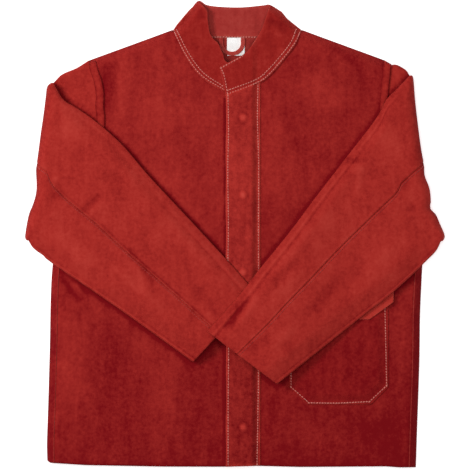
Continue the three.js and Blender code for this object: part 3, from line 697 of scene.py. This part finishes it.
def stand_grid(inner_x, columns):
    """Rows of plan points up the strip, its free edge slightly wavy."""
    rows = []
    for t in np.linspace(0, 1, 190):
        xs = np.linspace(STAND_TOP[0][0], inner_x, columns)
        top_y = np.interp(xs, *zip(*STAND_TOP))
        ys = mix(HEM_Y, top_y, t)
        wave = 0.7 * swell(0 * ys, ys, 31) * smooth((20 - xs) / 36)
        rows.append(np.stack([xs + wave, ys + hem_pull(xs, ys)], axis=-1))
    return np.array(rows)


STAND_SUEDE = suede("stand_suede", (112, 8, 14), (172, 47, 40), (190, 66, 56), 0.85, 0.95)
cover_plan = stand_grid(STAND_TOP[2][0], 40)
facing_plan = stand_grid(STAND_TOP[1][0], 34)
# Painted highlight on each bump over a snap, and a painted shade in the ring round its foot.
cover_painted_shading = np.zeros(cover_plan.shape[:2])
for snap_y in SNAP_YS:
    away = np.hypot(cover_plan[..., 0] - STAND_CENTRE_X, cover_plan[..., 1] - snap_y)
    cover_painted_shading += 1.2 * np.exp(-((away / 5.0) ** 2)) - 0.2 * np.exp(-(((away - 9) / 2.5) ** 2))
cover = leather_piece("placket_cover_leather", raised(cover_plan, stand_top), STAND_SUEDE, cover_painted_shading)
under = leather_piece("placket_facing_leather", raised(facing_plan, stand_lining_top), FLESH_SIDE)
for piece, node, width in ((cover, "placket_cover", 61), (under, "placket_facing", 56)):
    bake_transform(piece)
    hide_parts(node)

# ---- Chest pocket and flap --------------------------------------------------------------------------
# A patch with clipped lower corners, sewn round three sides and slightly full, under a flap of
# the same leather that is sewn down along its upper edge and lifts there.
PATCH_XS = (94.7, 268.7)
PATCH_YS = (-299.8, -91.65)
PATCH_CORNER = 31.0
PATCH_FULLNESS = 4.1
FLAP_XS = (85.7, 277.7)
FLAP_SEAM_Y = -77.6
FLAP_LENGTH = 73.0
FLAP_CORNER = 42.0
FLAP_SLOPE = 0.73
FLAP_LIFT = 6.3
PATCH_EDGE = [
    (PATCH_XS[0], -91),
    (PATCH_XS[0], PATCH_YS[0] + PATCH_CORNER),
    (PATCH_XS[0] + PATCH_CORNER, PATCH_YS[0]),
    (PATCH_XS[1] - PATCH_CORNER, PATCH_YS[0]),
    (PATCH_XS[1], PATCH_YS[0] + PATCH_CORNER),
    (PATCH_XS[1], -91),
]


def patch_top(x, y):
    fullness = smooth((distance_to(PATCH_EDGE, x, y) - 4) / 16)
    mouth = smooth((y + 99) / 8)
    return front_top(x, y) + LAYER + fullness * (PATCH_FULLNESS + 0.5 * swell(x, y, 21)) + 0.2 * mouth


def flap_top(x, y):
    return front_top(x, y) + LAYER + FLAP_LIFT * smooth((-83.6 - y) / 12) + 0.15 * swell(x, y, 18)


def clipped(xs, foot_y, top_y, corner, slope, rows, columns):
    """Rows of plan points between two sides, with both lower corners cut away."""
    x = np.linspace(*xs, columns)
    foot = foot_y + slope * np.maximum(0, corner - np.minimum(x - xs[0], xs[1] - x))
    return np.array([np.stack([x, mix(foot, top_y, t)], axis=-1) for t in np.linspace(0, 1, rows)])


patch_plan = clipped(PATCH_XS, *PATCH_YS, PATCH_CORNER, 1.0, 64, 60)
flap_plan = clipped(FLAP_XS, FLAP_SEAM_Y - FLAP_LENGTH, FLAP_SEAM_Y, FLAP_CORNER, FLAP_SLOPE, 30, 72)
POCKET_SUEDE = suede("pocket_suede", (114, 6, 14), (150, 32, 29), (172, 52, 46), 1.0, 0.9)
# The flap's leather is painted lighter than the pocket's and has no painted shade towards the lower right: a
# painted light where the lifted flap catches the light.
PAINTED_LIT_FLAP_SUEDE = suede("painted_lit_flap_suede", (128, 14, 16), (166, 44, 37), (186, 64, 54), 0.9, 0.0)
patch = leather_piece("pocket_patch_leather", raised(patch_plan, patch_top), POCKET_SUEDE)
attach(patch, "torso")
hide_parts("pocket_patch")
flap = leather_piece("pocket_flap_leather", raised(flap_plan, flap_top), PAINTED_LIT_FLAP_SUEDE)
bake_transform(flap)
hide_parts("pocket_flap")

# ---- Sleeves ----------------------------------------------------------------------------------------
# Each sleeve is a flattened tube of two panels, joined by a seam along the back of the arm and one
# hidden on the inside. It leaves the armhole, bends over itself at the elbow, and lies across
# the front; the left one crosses over the right.
ARM_TOP = 38.4
ARM_DEPTH = 15.5
ARMHOLE_LENGTH = 290.0
ELBOW_LENGTH = 270.0
TUBE_ROLL = 7.5
PINCH = 8.5
BACK_SEAM = 0.5
FRONT_SEAM = 0.86
SEAM_GAP = 0.25
SEAM_LAP = 4.0
LAP_DEPTH = 1.6
CREEP = 0.012
CREASE_DEPTH = 2.8
RIGHT_ARM = {
    "armhole": RIGHT_ARMHOLE,
    "outward": (-0.98998, 0.14121),
    "fold": [(-322.5, 264), (-329, 256), (-331.2, 240), (-335.3, 206.7), (-339.8, 176.3), (-345.1, 135.5),
             (-348.2, 111.7), (-347.2, 84), (-348.8, 67.2), (-354, 49.7), (-361.2, 31.4), (-367.3, -3),
             (-366, -12)],
    "overarm": [(-255.9, 303.2), (-277.4, 290.6), (-302.4, 280.4), (-317, 266)],
    "upper": RIGHT_SLEEVE_UPPER,
    "lower": RIGHT_SLEEVE_LOWER,
    "lift": lambda x: 0.0 * x,
    "seam": 1.0,
    # Strength of a painted dark line beside the back seam.
    "painted_seam_line": -0.55,
    "drift": 0.36,
    "folds": [
        (-352, 62, -292, 70, 8, -1.0), (-347, 92, -300, 100, 8, 1.0), (-354, 40, -306, 34, 8, 0.9),
        (-272, 36, -228, 72, 6, -1.1), (-262, 28, -232, 50, 5, 0.8), (-310, 236, -262, 150, 22, 1.0),
        (-220, -50, -110, -150, 9, 1.0), (-190, -20, -140, -90, 6, -1.1), (-176, -44, -150, -112, 7, 1.0),
        (-130, 40, -30, -70, 16, 0.9), (-240, 110, -180, 60, 18, -0.9), (-90, -60, -30, -150, 10, -0.8),
        (-330, 10, -240, -60, 14, 0.9), (-60, -120, -30, -170, 8, 0.8), (-20, -60, 10, -110, 10, 0.8),
    ],
}
LEFT_ARM = {
    "armhole": LEFT_ARMHOLE,
    "outward": (0.98035, 0.19729),
    "fold": [(310.5, 277), (312.6, 268), (316.6, 221.2), (325.2, 152.4), (330.8, 121.1), (332.2, 101),
             (340.4, 79), (342.9, 56.4), (341.6, 44), (351.6, 33), (358.8, 16.5), (367, -3), (365, -13)],
    "overarm": [(263, 303.2), (272, 297), (284, 298), (300, 291), (307, 282)],
    "upper": LEFT_SLEEVE_UPPER,
    "lower": LEFT_SLEEVE_LOWER,
    "lift": lambda x: 16.8 * smooth((220 - x) / 165),
    "seam": 0.12,
    # Strength of a painted pale line beside the back seam, set against the seam's shadow.
    "painted_seam_line": 0.35,
    "drift": -0.28,
    "folds": [
        (336, 100, 282, 84, 8, -0.9), (346, 48, 296, 44, 8, -1.2), (338, 72, 290, 62, 8, 1.0),
        (190, 130, 232, 126, 4.5, -1.6), (196, 118, 236, 112, 6, 1.1), (222, 120, 212, 60, 5, 0.9),
        (24, -108, -18, -170, 8, -2.7), (40, -106, 4, -162, 8, 1.1), (250, 190, 296, 120, 20, 0.9),
        (180, 40, 70, -70, 16, 1.0), (150, 10, 60, -100, 10, -1.0), (120, -60, 40, -150, 12, 0.9),
        (300, 0, 220, -90, 16, 0.9), (200, -60, 120, -150, 12, -0.9), (110, -150, 60, -210, 9, 1.0),
        (60, -180, 20, -205, 8, -0.8),
    ],
}


def fold_start(arm, s, h, round_share):
    """Plan point about which a layer turns round the elbow: h is 0 on the back layer, 1 on the front one.

    The panels run slanting across the fold, so they creep along it as they go round.
    """
    radius = (ARM_TOP - ARM_DEPTH * h - BODY_TOP * h) / 2
    s = s + CREEP * radius * s * (1 - s) * round_share
    squeeze = mix(0.3, 1.0, smooth(np.minimum(s, 1 - s) / 0.16))
    inset = radius * squeeze + CREASE_DEPTH * h
    return curve(arm["fold"], s) - inset[..., None] * np.array(arm["outward"]), radius, squeeze


def sleeve_points(arm, across, edge, level, tucked=0.0):
    """Points and painted shade of the sleeve at stations whose share of the width is across + edge / width.

    Stations that are tucked lie that much deeper than the sleeve's outer face.
    """
    across = np.asarray(across, float)[None, :]
    edge = np.asarray(edge, float)[None, :]
    h = np.asarray(level, float)[None, :]
    outward = np.array(arm["outward"])
    # From the armhole to the elbow.
    stub = np.linspace(0, 1, 27)[:-1, None]
    s = np.clip(across + edge / mix(ARMHOLE_LENGTH, ELBOW_LENGTH, stub), 0, 1)
    hh = np.broadcast_to(h, s.shape)
    start, _, _ = fold_start(arm, s, hh, -1)
    hole = curve(arm["armhole"], s)
    line = mix(np.array(arm["overarm"][0]), np.array(arm["overarm"][-1]), stub)
    bulge = curve(arm["overarm"], stub[:, 0]) - line
    plan = mix(hole, start, stub[..., None]) + ((1 - s) ** 4)[..., None] * bulge[:, None, :]
    z = BODY_TOP * hh + tucked - 0.6 * hh * (1 + swell(plan[..., 0], plan[..., 1], 16)) * smooth(stub / 0.2)
    zones = [np.dstack([plan, z])]
    # Round the fold of the elbow.
    angle = np.radians(np.linspace(-90, 90, 25))[:, None]
    s = np.clip(across + edge / ELBOW_LENGTH + 0 * angle, 0, 1)
    hh = np.broadcast_to(h, s.shape)
    start, radius, squeeze = fold_start(arm, s, hh, angle / (np.pi / 2))
    radius = radius - tucked
    plan = start + (radius * squeeze * np.cos(angle))[..., None] * outward
    middle = (ARM_TOP - ARM_DEPTH * hh + BODY_TOP * hh) / 2
    ramp = 0.6 * hh * (1 + swell(plan[..., 0], plan[..., 1], 16)) * (1 - smooth((angle + np.pi / 2) / 1.2))
    zones.append(np.dstack([plan, middle + radius * np.sin(angle) - ramp])[1:-1])
    # Along the forearm, from the elbow to the cuff.
    t = np.linspace(0, 1, 112)[:, None]
    upper, lower = curve(arm["upper"], t[:, 0]), curve(arm["lower"], t[:, 0])
    width = np.linalg.norm(lower - upper, axis=-1)[:, None]
    share = np.clip(across + edge / width, 0, 1)
    crept = CREEP * (ARM_TOP - ARM_DEPTH * h - BODY_TOP * h) / 2
    s = share + mix(crept, arm["drift"], 1 - np.exp(-t / 0.25)) * share * (1 - share)
    hh = np.broadcast_to(h, s.shape)
    plan = mix(upper[:, None, :], lower[:, None, :], s[..., None])
    first = mix(upper[0], lower[0], (share + crept * share * (1 - share))[..., None])
    start, _, _ = fold_start(arm, share, hh, 1)
    plan = plan + (start - first) * (1 - smooth(t / 0.2))[..., None]
    x, y = plan[..., 0], plan[..., 1]
    top = (1 - hh) ** 2 * smooth((t - 0.01) / 0.06)
    folds = creases(x, y, arm["folds"])
    uneven = 0.7 * swell(x + 20, y, 24) + 0.4 * swell(x, y + 9, 10) + folds
    from_upper, from_lower = s * width, (1 - s) * width
    rim = smooth(np.minimum(from_upper, from_lower) / 14)
    pinch = (1 - smooth(np.minimum(from_upper, from_lower) / 36)) * smooth((t - 0.03) / 0.14)
    z = ARM_TOP - ARM_DEPTH * hh - tucked + arm["lift"](x) + top * uneven * rim
    z = z - PINCH * (1 - hh) * pinch
    pressed = np.exp(-(((from_upper - 12) / 2.2) ** 2)) - 0.8 * np.exp(-(((from_upper - 17) / 2.4) ** 2))
    lapped = np.exp(-(((share - BACK_SEAM) * width / 1.7) ** 2))
    turned = np.exp(-(((from_lower - 3.5) / 1.3) ** 2)) - np.exp(-(((from_lower - 6.5) / 1.6) ** 2))
    z = z + top * (0.9 * pressed + arm["seam"] * lapped + 0.6 * turned)
    zones.append(np.dstack([plan, z]))
    # Painted shade and highlights on the forearm: darker in fold valleys and lighter on the ridges, along the
    # pressed and turned creases, a pale line on the seam's lap, and a painted line beside the back seam.
    painted_seam_line = np.exp(-((((share - BACK_SEAM) * width + 3.2) / 1.5) ** 2))
    painted_crease_shading = 0.42 * folds + 0.45 * (pressed + turned) + 0.25 * arm["seam"] * lapped + arm["painted_seam_line"] * painted_seam_line
    # Painted shadow on the upper arm's front layer beside the forearm's upper edge, and painted shade on the
    # outer side of the elbow's fold.
    beside = distance_to(arm["upper"], zones[0][..., 0], zones[0][..., 1])
    fold_painted_shade = -0.7 * np.cos(angle[1:-1]) ** 6 + 0 * share[:1]
    wear_and_painted_shading = np.vstack([-1.1 * h * np.exp(-((beside / 6) ** 2)), fold_painted_shade, painted_crease_shading * top])
    return np.vstack(zones), wear_and_painted_shading


# Stations round the tube, as the arguments of sleeve_points: across, edge, level and tucked.
turn = np.radians(np.linspace(-90, 90, 13))[1:-1]
back_steps, front_steps = np.linspace(0, 1, 30), np.linspace(0, 1, 34)
TOP_PANEL = (
    np.concatenate([BACK_SEAM * (1 - back_steps), 0 * turn, FRONT_SEAM * front_steps]),
    np.concatenate([TUBE_ROLL * back_steps - SEAM_GAP * (1 - back_steps), TUBE_ROLL * (1 - np.cos(turn)),
                    TUBE_ROLL * (1 - front_steps) - SEAM_GAP * front_steps]),
    np.concatenate([0 * back_steps, (1 + np.sin(turn)) / 2, 1 + 0 * front_steps]),
)
few, rest = np.linspace(0, 1, 8), np.linspace(0, 1, 24)
UNDER_PANEL = (
    np.concatenate([FRONT_SEAM + (1 - FRONT_SEAM) * few, 1 + 0 * turn, 1 - (1 - BACK_SEAM) * rest]),
    np.concatenate([SEAM_GAP * (1 - few) - TUBE_ROLL * few, -TUBE_ROLL * (1 - np.cos(turn)),
                    -TUBE_ROLL * (1 - rest) - SEAM_LAP * (rest == 1)]),
    np.concatenate([1 + 0 * few, (1 - np.sin(turn)) / 2, 0 * rest]),
    np.concatenate([0 * few, 0 * turn, LAP_DEPTH * smooth((rest - 0.93) / 0.07)]),
)
SLEEVE_SUEDE = suede("sleeve_suede", (116, 8, 14), (160, 40, 34), (180, 58, 49), 1.0, 0.2)
for side, arm in (("right", RIGHT_ARM), ("left", LEFT_ARM)):
    for part, stations, width, share in (("top", TOP_PANEL, 395, 0.74), ("under", UNDER_PANEL, 190, 0.62)):
        grid, wear_and_painted_shading = sleeve_points(arm, *stations)
        panel = leather_piece(f"{side}_{part}_sleeve_leather", grid, SLEEVE_SUEDE, wear_and_painted_shading, edge=0.0)
        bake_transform(panel)
        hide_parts(f"{side}_{part}_sleeve_upper_arm", f"{side}_{part}_sleeve_forearm")

# ---- Armhole welts ----------------------------------------------------------------------------------
# A strip of the sleeves' leather, about 13.5 mm wide, over each armhole seam. It is raised along
# its middle, and painted darker along both edges: a painted shade where it dips down to the seam.
WELT_CROWN = 0.8
WELT_ROWS = np.linspace(302.5, 48, 84)
WELT_SHARES = np.linspace(0, 1, 9)
for side, armhole, near, far in (("right", RIGHT_ARMHOLE, -2.0, 12.0), ("left", LEFT_ARMHOLE, -2.5, 10.5)):
    seam_x = x_at(armhole, WELT_ROWS)[:, None]
    across = mix(near, far, WELT_SHARES)
    outer_drop = 0.6 * np.maximum(0, across if side == "left" else -across)
    ys = WELT_ROWS[:, None] - outer_drop * smooth((WELT_ROWS[:, None] - 262) / 38)
    plan = np.dstack([seam_x + across, ys])
    level = rolled_edge(to_nearest(SHOULDERS, plan[..., 0], plan[..., 1]), BODY_TOP + 0.4)
    strip = np.dstack([plan, level + LAYER + WELT_CROWN * np.sin(np.pi * WELT_SHARES)])
    # Negative edge strength: painted shade along both edges of the welt.
    welt = leather_piece(f"{side}_armhole_welt_leather", strip, SLEEVE_SUEDE, edge=-0.8)
    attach(welt, "torso")
    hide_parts(f"{side}_armhole_welt")

# ---- Hanger loop and label ----------------------------------------------------------------------------
# A narrow strap of leather folded into a U, both ends sewn into the back neck seam.
# Under it lies a plain woven label of white ribbon, sewn in with the same seam.
LOOP_CENTRE = (-5.2, 341.35)
LOOP_HALF = 19.0
LOOP_DROP = 26.5
LOOP_STRAP = 7.0
LOOP_TOP = 5.7
LOOP_CROWN = 0.35
bend = np.radians(np.linspace(0, 180, 41))
arc = np.stack([LOOP_HALF * np.cos(bend), -(LOOP_DROP - LOOP_HALF) - LOOP_HALF * np.sin(bend)], axis=-1)
leg = np.linspace(1.5, -(LOOP_DROP - LOOP_HALF), 8)[:-1]
middle_line = np.vstack([
    np.stack([np.full(7, LOOP_HALF), leg], axis=-1),
    arc,
    np.stack([np.full(7, -LOOP_HALF), leg[::-1]], axis=-1),
]) + LOOP_CENTRE
along = np.gradient(middle_line, axis=0)
side_way = np.stack([-along[:, 1], along[:, 0]], axis=-1) / np.linalg.norm(along, axis=1)[:, None]
loop_rows = []
for offset in np.linspace(-LOOP_STRAP / 2, LOOP_STRAP / 2, 9):
    crown = np.full(len(middle_line), LOOP_TOP + LOOP_CROWN * math.cos(offset / 2.4))
    loop_rows.append(np.column_stack([middle_line + side_way * offset, crown]))
LOOP_SUEDE = suede("loop_suede", (112, 22, 24), (150, 44, 40), (180, 74, 66), 1.2, 0.0)
loop = leather_piece("hanger_loop_leather", np.array(loop_rows), LOOP_SUEDE)
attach(loop, "loop")
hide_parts("hanger_loop")


def woven_label():
    material, tree, shader = new_material("label_ribbon", {"Roughness": 0.6, "Sheen Weight": 0.2})
    place = tree.nodes.new("ShaderNodeTexCoord").outputs["Object"]
    ribs = tree.nodes.new("ShaderNodeTexWave")
    ribs.bands_direction = "Y"
    ribs.inputs["Scale"].default_value = 620
    ribs.inputs["Distortion"].default_value = 1.2
    ribs.inputs["Detail"].default_value = 2
    tree.links.new(place, ribs.inputs["Vector"])
    soil = ranged(tree, noise(tree, place, 70, 4), 0.35, 0.75)
    colour = colour_mix(tree, soil, linear(250, 249, 248), linear(232, 228, 226))
    tree.links.new(colour, shader.inputs["Base Color"])
    bumped(tree, shader, ribs.outputs["Fac"], 0.3, 0.0003)
    return material


def label_top(x, y):
    """The ribbon lies a little wavy, and its free end curls up."""
    return LABEL_TOP + 0.25 * np.sin((x + 14) / 5) * smooth((340 - y) / 20) + 0.4 * smooth((314 - y) / 3)


LABEL_XS = (-14.0, 17.0)
LABEL_YS = (311.4, 343.0)
LABEL_TOP = 4.1
RIBBON = woven_label()
label_plan = np.stack(np.meshgrid(np.linspace(*LABEL_XS, 26), np.linspace(*LABEL_YS, 26)), axis=-1)
label = leather_piece("neck_label_ribbon", raised(label_plan, label_top), RIBBON, thickness=0.4, inner=RIBBON,
                      rim=RIBBON)
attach(label, "torso")
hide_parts("neck_label")

# ---- Seam thread --------------------------------------------------------------------------------------
# Heavy spun thread in lockstitches of about five to the inch, pale on the collar, button stand and
# pocket, and red along the sleeve seams. Each row follows the leather it is sewn through.


def stitch_tree():
    """Geometry nodes that lay one stitch after another along the edges of a mesh."""
    tree, inward, outward = new_group(
        "stitch_rows",
        "GeometryNodeTree",
        [
            ("Geometry", "Geometry", None),
            ("Pitch", "Float", 0.0048),
            ("Stitch Length", "Float", 0.0046),
            ("Thread Radius", "Float", 0.001),
            ("Slant", "Float", 0.1),
            ("Thread", "Material", None),
        ],
        [("Geometry", "Geometry")],
    )
    add = tree.nodes.new
    link = tree.links.new
    lines = add("GeometryNodeMeshToCurve")
    spaced = add("GeometryNodeResampleCurve")
    spaced.mode = "LENGTH"
    tangent = add("GeometryNodeInputTangent")
    align = add("FunctionNodeAlignRotationToVector")
    align.axis = "X"
    slanted = add("FunctionNodeRotateRotation")
    slanted.rotation_space = "LOCAL"
    wobble = add("FunctionNodeRandomValue")
    wobble.data_type = "FLOAT"
    wobble.inputs["Min"].default_value = 0.6
    wobble.inputs["Max"].default_value = 1.4
    wobble.inputs["Seed"].default_value = 4
    slant = calculated(tree, "MULTIPLY", inward.outputs["Slant"], wobble.outputs[1])
    turned = add("ShaderNodeCombineXYZ")
    to_rotation = add("FunctionNodeEulerToRotation")
    stitch = add("GeometryNodeMeshUVSphere")
    stitch.inputs["Segments"].default_value = 6
    stitch.inputs["Rings"].default_value = 5
    stitch.inputs["Radius"].default_value = 1.0
    half_length = calculated(tree, "MULTIPLY", inward.outputs["Stitch Length"], 0.5)
    shape = add("ShaderNodeCombineXYZ")
    sized = add("GeometryNodeTransform")
    rounded = add("GeometryNodeSetShadeSmooth")
    laid = add("GeometryNodeInstanceOnPoints")
    real = add("GeometryNodeRealizeInstances")
    painted = add("GeometryNodeSetMaterial")
    link(inward.outputs["Geometry"], lines.inputs["Mesh"])
    link(lines.outputs[0], spaced.inputs["Curve"])
    link(inward.outputs["Pitch"], spaced.inputs["Length"])
    link(tangent.outputs[0], align.inputs["Vector"])
    link(align.outputs[0], slanted.inputs["Rotation"])
    link(slant, turned.inputs["Z"])
    link(turned.outputs[0], to_rotation.inputs[0])
    link(to_rotation.outputs[0], slanted.inputs["Rotate By"])
    link(half_length, shape.inputs["X"])
    for axis in ("Y", "Z"):
        link(inward.outputs["Thread Radius"], shape.inputs[axis])
    link(stitch.outputs["Mesh"], sized.inputs["Geometry"])
    link(shape.outputs[0], sized.inputs["Scale"])
    link(sized.outputs[0], rounded.inputs[0])
    link(spaced.outputs[0], laid.inputs["Points"])
    link(rounded.outputs[0], laid.inputs["Instance"])
    link(slanted.outputs[0], laid.inputs["Rotation"])
    link(laid.outputs[0], real.inputs[0])
    link(real.outputs[0], painted.inputs["Geometry"])
    link(inward.outputs["Thread"], painted.inputs["Material"])
    link(painted.outputs[0], outward.inputs[0])
    return tree


STITCHES = stitch_tree()


def thread_material(name, dark, pale):
    material, tree, shader = new_material(name, {"Roughness": 0.8, "Sheen Weight": 0.25})
    place = tree.nodes.new("ShaderNodeTexCoord").outputs["Object"]
    flecks = ranged(tree, noise(tree, place, 160, 3), 0.35, 0.65)
    colour = colour_mix(tree, flecks, linear(*dark), linear(*pale))
    tree.links.new(colour, shader.inputs["Base Color"])
    bumped(tree, shader, noise(tree, place, 2600, 2), 0.5, 0.0002)
    return material


PALE_THREAD = thread_material("pale_thread", (184, 84, 76), (212, 124, 112))
RED_THREAD = thread_material("red_thread", (142, 34, 30), (164, 50, 43))
STITCH_SHARE = 0.96


def sew(name, rows, thread=PALE_THREAD, pitch=4.8, radius=1.08):
    """Stitches along rows of points in millimetres, as one plain mesh."""
    points = np.vstack(rows) * MM
    counts = np.cumsum([0] + [len(row) for row in rows])
    edges = [(i, i + 1) for a, b in zip(counts[:-1], counts[1:]) for i in range(a, b - 1)]
    path = bpy.data.meshes.new(name + "_path")
    path.from_pydata(points.tolist(), edges, [])
    maker = bpy.data.objects.new(name + "_maker", path)
    bpy.context.scene.collection.objects.link(maker)
    nodes = maker.modifiers.new("stitches", "NODES")
    nodes.node_group = STITCHES
    values = {"Pitch": pitch * MM, "Stitch Length": STITCH_SHARE * pitch * MM}
    values |= {"Thread Radius": radius * MM, "Thread": thread}
    for socket in STITCHES.interface.items_tree:
        if socket.in_out == "INPUT" and socket.name in values:
            nodes[socket.identifier] = values[socket.name]
    graph = bpy.context.evaluated_depsgraph_get()
    mesh = bpy.data.meshes.new_from_object(maker.evaluated_get(graph))
    bpy.data.objects.remove(maker)
    bpy.data.meshes.remove(path)
    mesh.name = name
    stitches = bpy.data.objects.new(name, mesh)
    bpy.context.scene.collection.objects.link(stitches)
    return stitches


def on_leather(line, height, lift=0.25, steps=160):
    """A row over plan points, on a surface."""
    plan = curve(line, np.linspace(0, 1, steps))
    return np.column_stack([plan, height(plan[:, 0], plan[:, 1]) + lift])


RIGHT_ROW_OUTER = [(-107, 354.5), (-85.8, 312.6), (-59.5, 277.6), (-21, 252.9), (-17.5, 251.6)]
RIGHT_ROW_INNER = [(-102.2, 356.5), (-81, 315.2), (-55.6, 281.6), (-22, 258.4)]
LEFT_ROW_OUTER = [(114.6, 354.2), (104.1, 332.5), (81.9, 303.5), (57.4, 276.7), (37.3, 263.4), (-12.6, 244)]
LEFT_ROW_INNER = [(107, 357), (98, 335), (79.6, 310.5), (57.4, 286), (36.8, 269.3), (-12.6, 250.4)]
PATCH_ROWS = [
    [(262.2, -122), (264, -194), (265.5, -266.5)],
    [(265.5, -266.5), (235.5, -294.4)],
    [(235.5, -294.4), (180, -297), (129.5, -296.6)],
    [(129.5, -296.6), (98.2, -269)],
    [(98.2, -269), (98, -122)],
]
NECK_ROW = [(-40, 344.0), (3, 344.2), (50, 343.8)]
STAND_SEAM_ROW = [(40.4, 262.6), (39.4, 200), (41.4, 120), (41, 0), (41.6, -140), (41, -260), (38.6, -404)]
STAND_EDGE_ROW = [(-12.2, 241), (-11.4, 180), (-12.6, 110), (-11.6, 20), (-12.4, -70), (-11.2, -200),
                  (-12, -300), (-12, -404)]
torso_rows = [on_leather(RIGHT_ROW_OUTER, RIGHT_HEIGHT), on_leather(RIGHT_ROW_INNER, RIGHT_HEIGHT)]
torso_rows += [on_leather(line, patch_top, steps=60) for line in PATCH_ROWS]
torso_rows.append(on_leather(NECK_ROW, lambda x, y: 0 * x + EDGE_TOP, lift=0.5, steps=60))
torso_thread = sew("body_stitches", torso_rows)
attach(torso_thread, "torso")

stand_rows = [
    on_leather(LEFT_ROW_OUTER, LEFT_HEIGHT),
    on_leather(LEFT_ROW_INNER, LEFT_HEIGHT),
    on_leather([(13.6, 310.4), (-24.2, 289.6)], LEFT_HEIGHT, steps=40),
    on_leather([(-24.2, 289.6), (-18.4, 274), (-13.2, 246)], LEFT_HEIGHT, steps=40),
    on_leather(STAND_SEAM_ROW, stand_top),
    on_leather(STAND_EDGE_ROW, stand_top),
]
stand_thread = sew("stand_stitches", stand_rows)
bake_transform(stand_thread)

flap_thread = sew("flap_stitches", [on_leather([(90, -79.2), (273, -79.2)], flap_top)])
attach(flap_thread, "torso")

for side, arm in (("right", RIGHT_ARM), ("left", LEFT_ARM)):
    seam = sleeve_points(arm, [BACK_SEAM], [SEAM_LAP], [0.0])[0][:, 0]
    seam = seam[40:-1] + [0, 0, 0.15]
    thread = sew(f"{side}_sleeve_stitches", [seam], RED_THREAD, 4.6, 0.42)
    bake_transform(thread)

# ---- Snap fasteners -------------------------------------------------------------------------------------
# Five ring-and-stud snaps in dull nickel plate: eyelet and stud through the right front, socket and
# cap through the button stand.


def nickel():
    material, tree, shader = new_material("dull_nickel", {"Metallic": 1.0})
    place = tree.nodes.new("ShaderNodeTexCoord").outputs["Object"]
    spots = noise(tree, place, 900, 5, 0.7)
    colour = colour_mix(tree, ranged(tree, spots, 0.4, 0.7), linear(196, 193, 186), linear(140, 134, 124))
    tree.links.new(colour, shader.inputs["Base Color"])
    tree.links.new(ranged(tree, spots, 0.3, 0.7, 0.28, 0.5), shader.inputs["Roughness"])
    bumped(tree, shader, noise(tree, place, 3000, 3), 0.15, 0.0002)
    return material


NICKEL = nickel()
for name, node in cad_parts.items():
    if name.startswith("snap_"):
        node.data.materials.clear()
        node.data.materials.append(NICKEL)

# ---- Table, light and camera ----------------------------------------------------------------------------
# A plain white table that glows a little, so that it stays pale under the jacket. Soft light falls
# from the upper left and from overhead, and the camera looks straight down.
WHITE_TABLE = new_material("white_table", {
    "Base Color": (0.93, 0.93, 0.93, 1),
    "Roughness": 0.9,
    "Specular IOR Level": 0.1,
    "Emission Color": (1, 1, 1, 1),
    "Emission Strength": 0.6,
})[0]
bpy.ops.mesh.primitive_plane_add(size=12, location=(0, 0, -0.0004))
floor = bpy.context.object
floor.name = "floor"
floor.data.materials.append(WHITE_TABLE)


def soft_light(name, place, size, power, colour):
    """A round area light aimed at the middle of the table."""
    data = bpy.data.lights.new(name, "AREA")
    data.shape = "DISK"
    data.size = size
    data.energy = power
    data.color = colour
    light = bpy.data.objects.new(name, data)
    light.location = place
    x, y, z = place
    light.rotation_euler = (math.atan2(math.hypot(x, y), z), 0, math.atan2(-x, y) + math.pi)
    bpy.context.scene.collection.objects.link(light)


soft_light("key", (-2.4, 1.15, 3.05), 1.3, 91, (1.0, 0.98, 0.96))
soft_light("overhead", (0.0, 0.05, 3.6), 2.4, 62, (1.0, 1.0, 1.0))
world = bpy.data.worlds.new("studio")
world.use_nodes = True
world.node_tree.nodes["Background"].inputs["Color"].default_value = (0.96, 0.97, 1.0, 1)
world.node_tree.nodes["Background"].inputs["Strength"].default_value = 0.2
bpy.context.scene.world = world
bpy.context.scene.view_settings.view_transform = "Standard"

VIEW_WIDTH = 822.5 * MM
VIEW_CENTRE = (0.0, -2.8 * MM, 20.0 * MM)
LENS = 600.0
SENSOR = 36.0
lens = bpy.data.cameras.new("overhead_camera")
lens.lens = LENS
lens.sensor_width = SENSOR
lens.clip_end = 100
camera = bpy.data.objects.new("overhead_camera", lens)
camera.location = (VIEW_CENTRE[0], VIEW_CENTRE[1], VIEW_CENTRE[2] + VIEW_WIDTH * LENS / SENSOR)
bpy.context.scene.collection.objects.link(camera)
bpy.context.scene.camera = camera
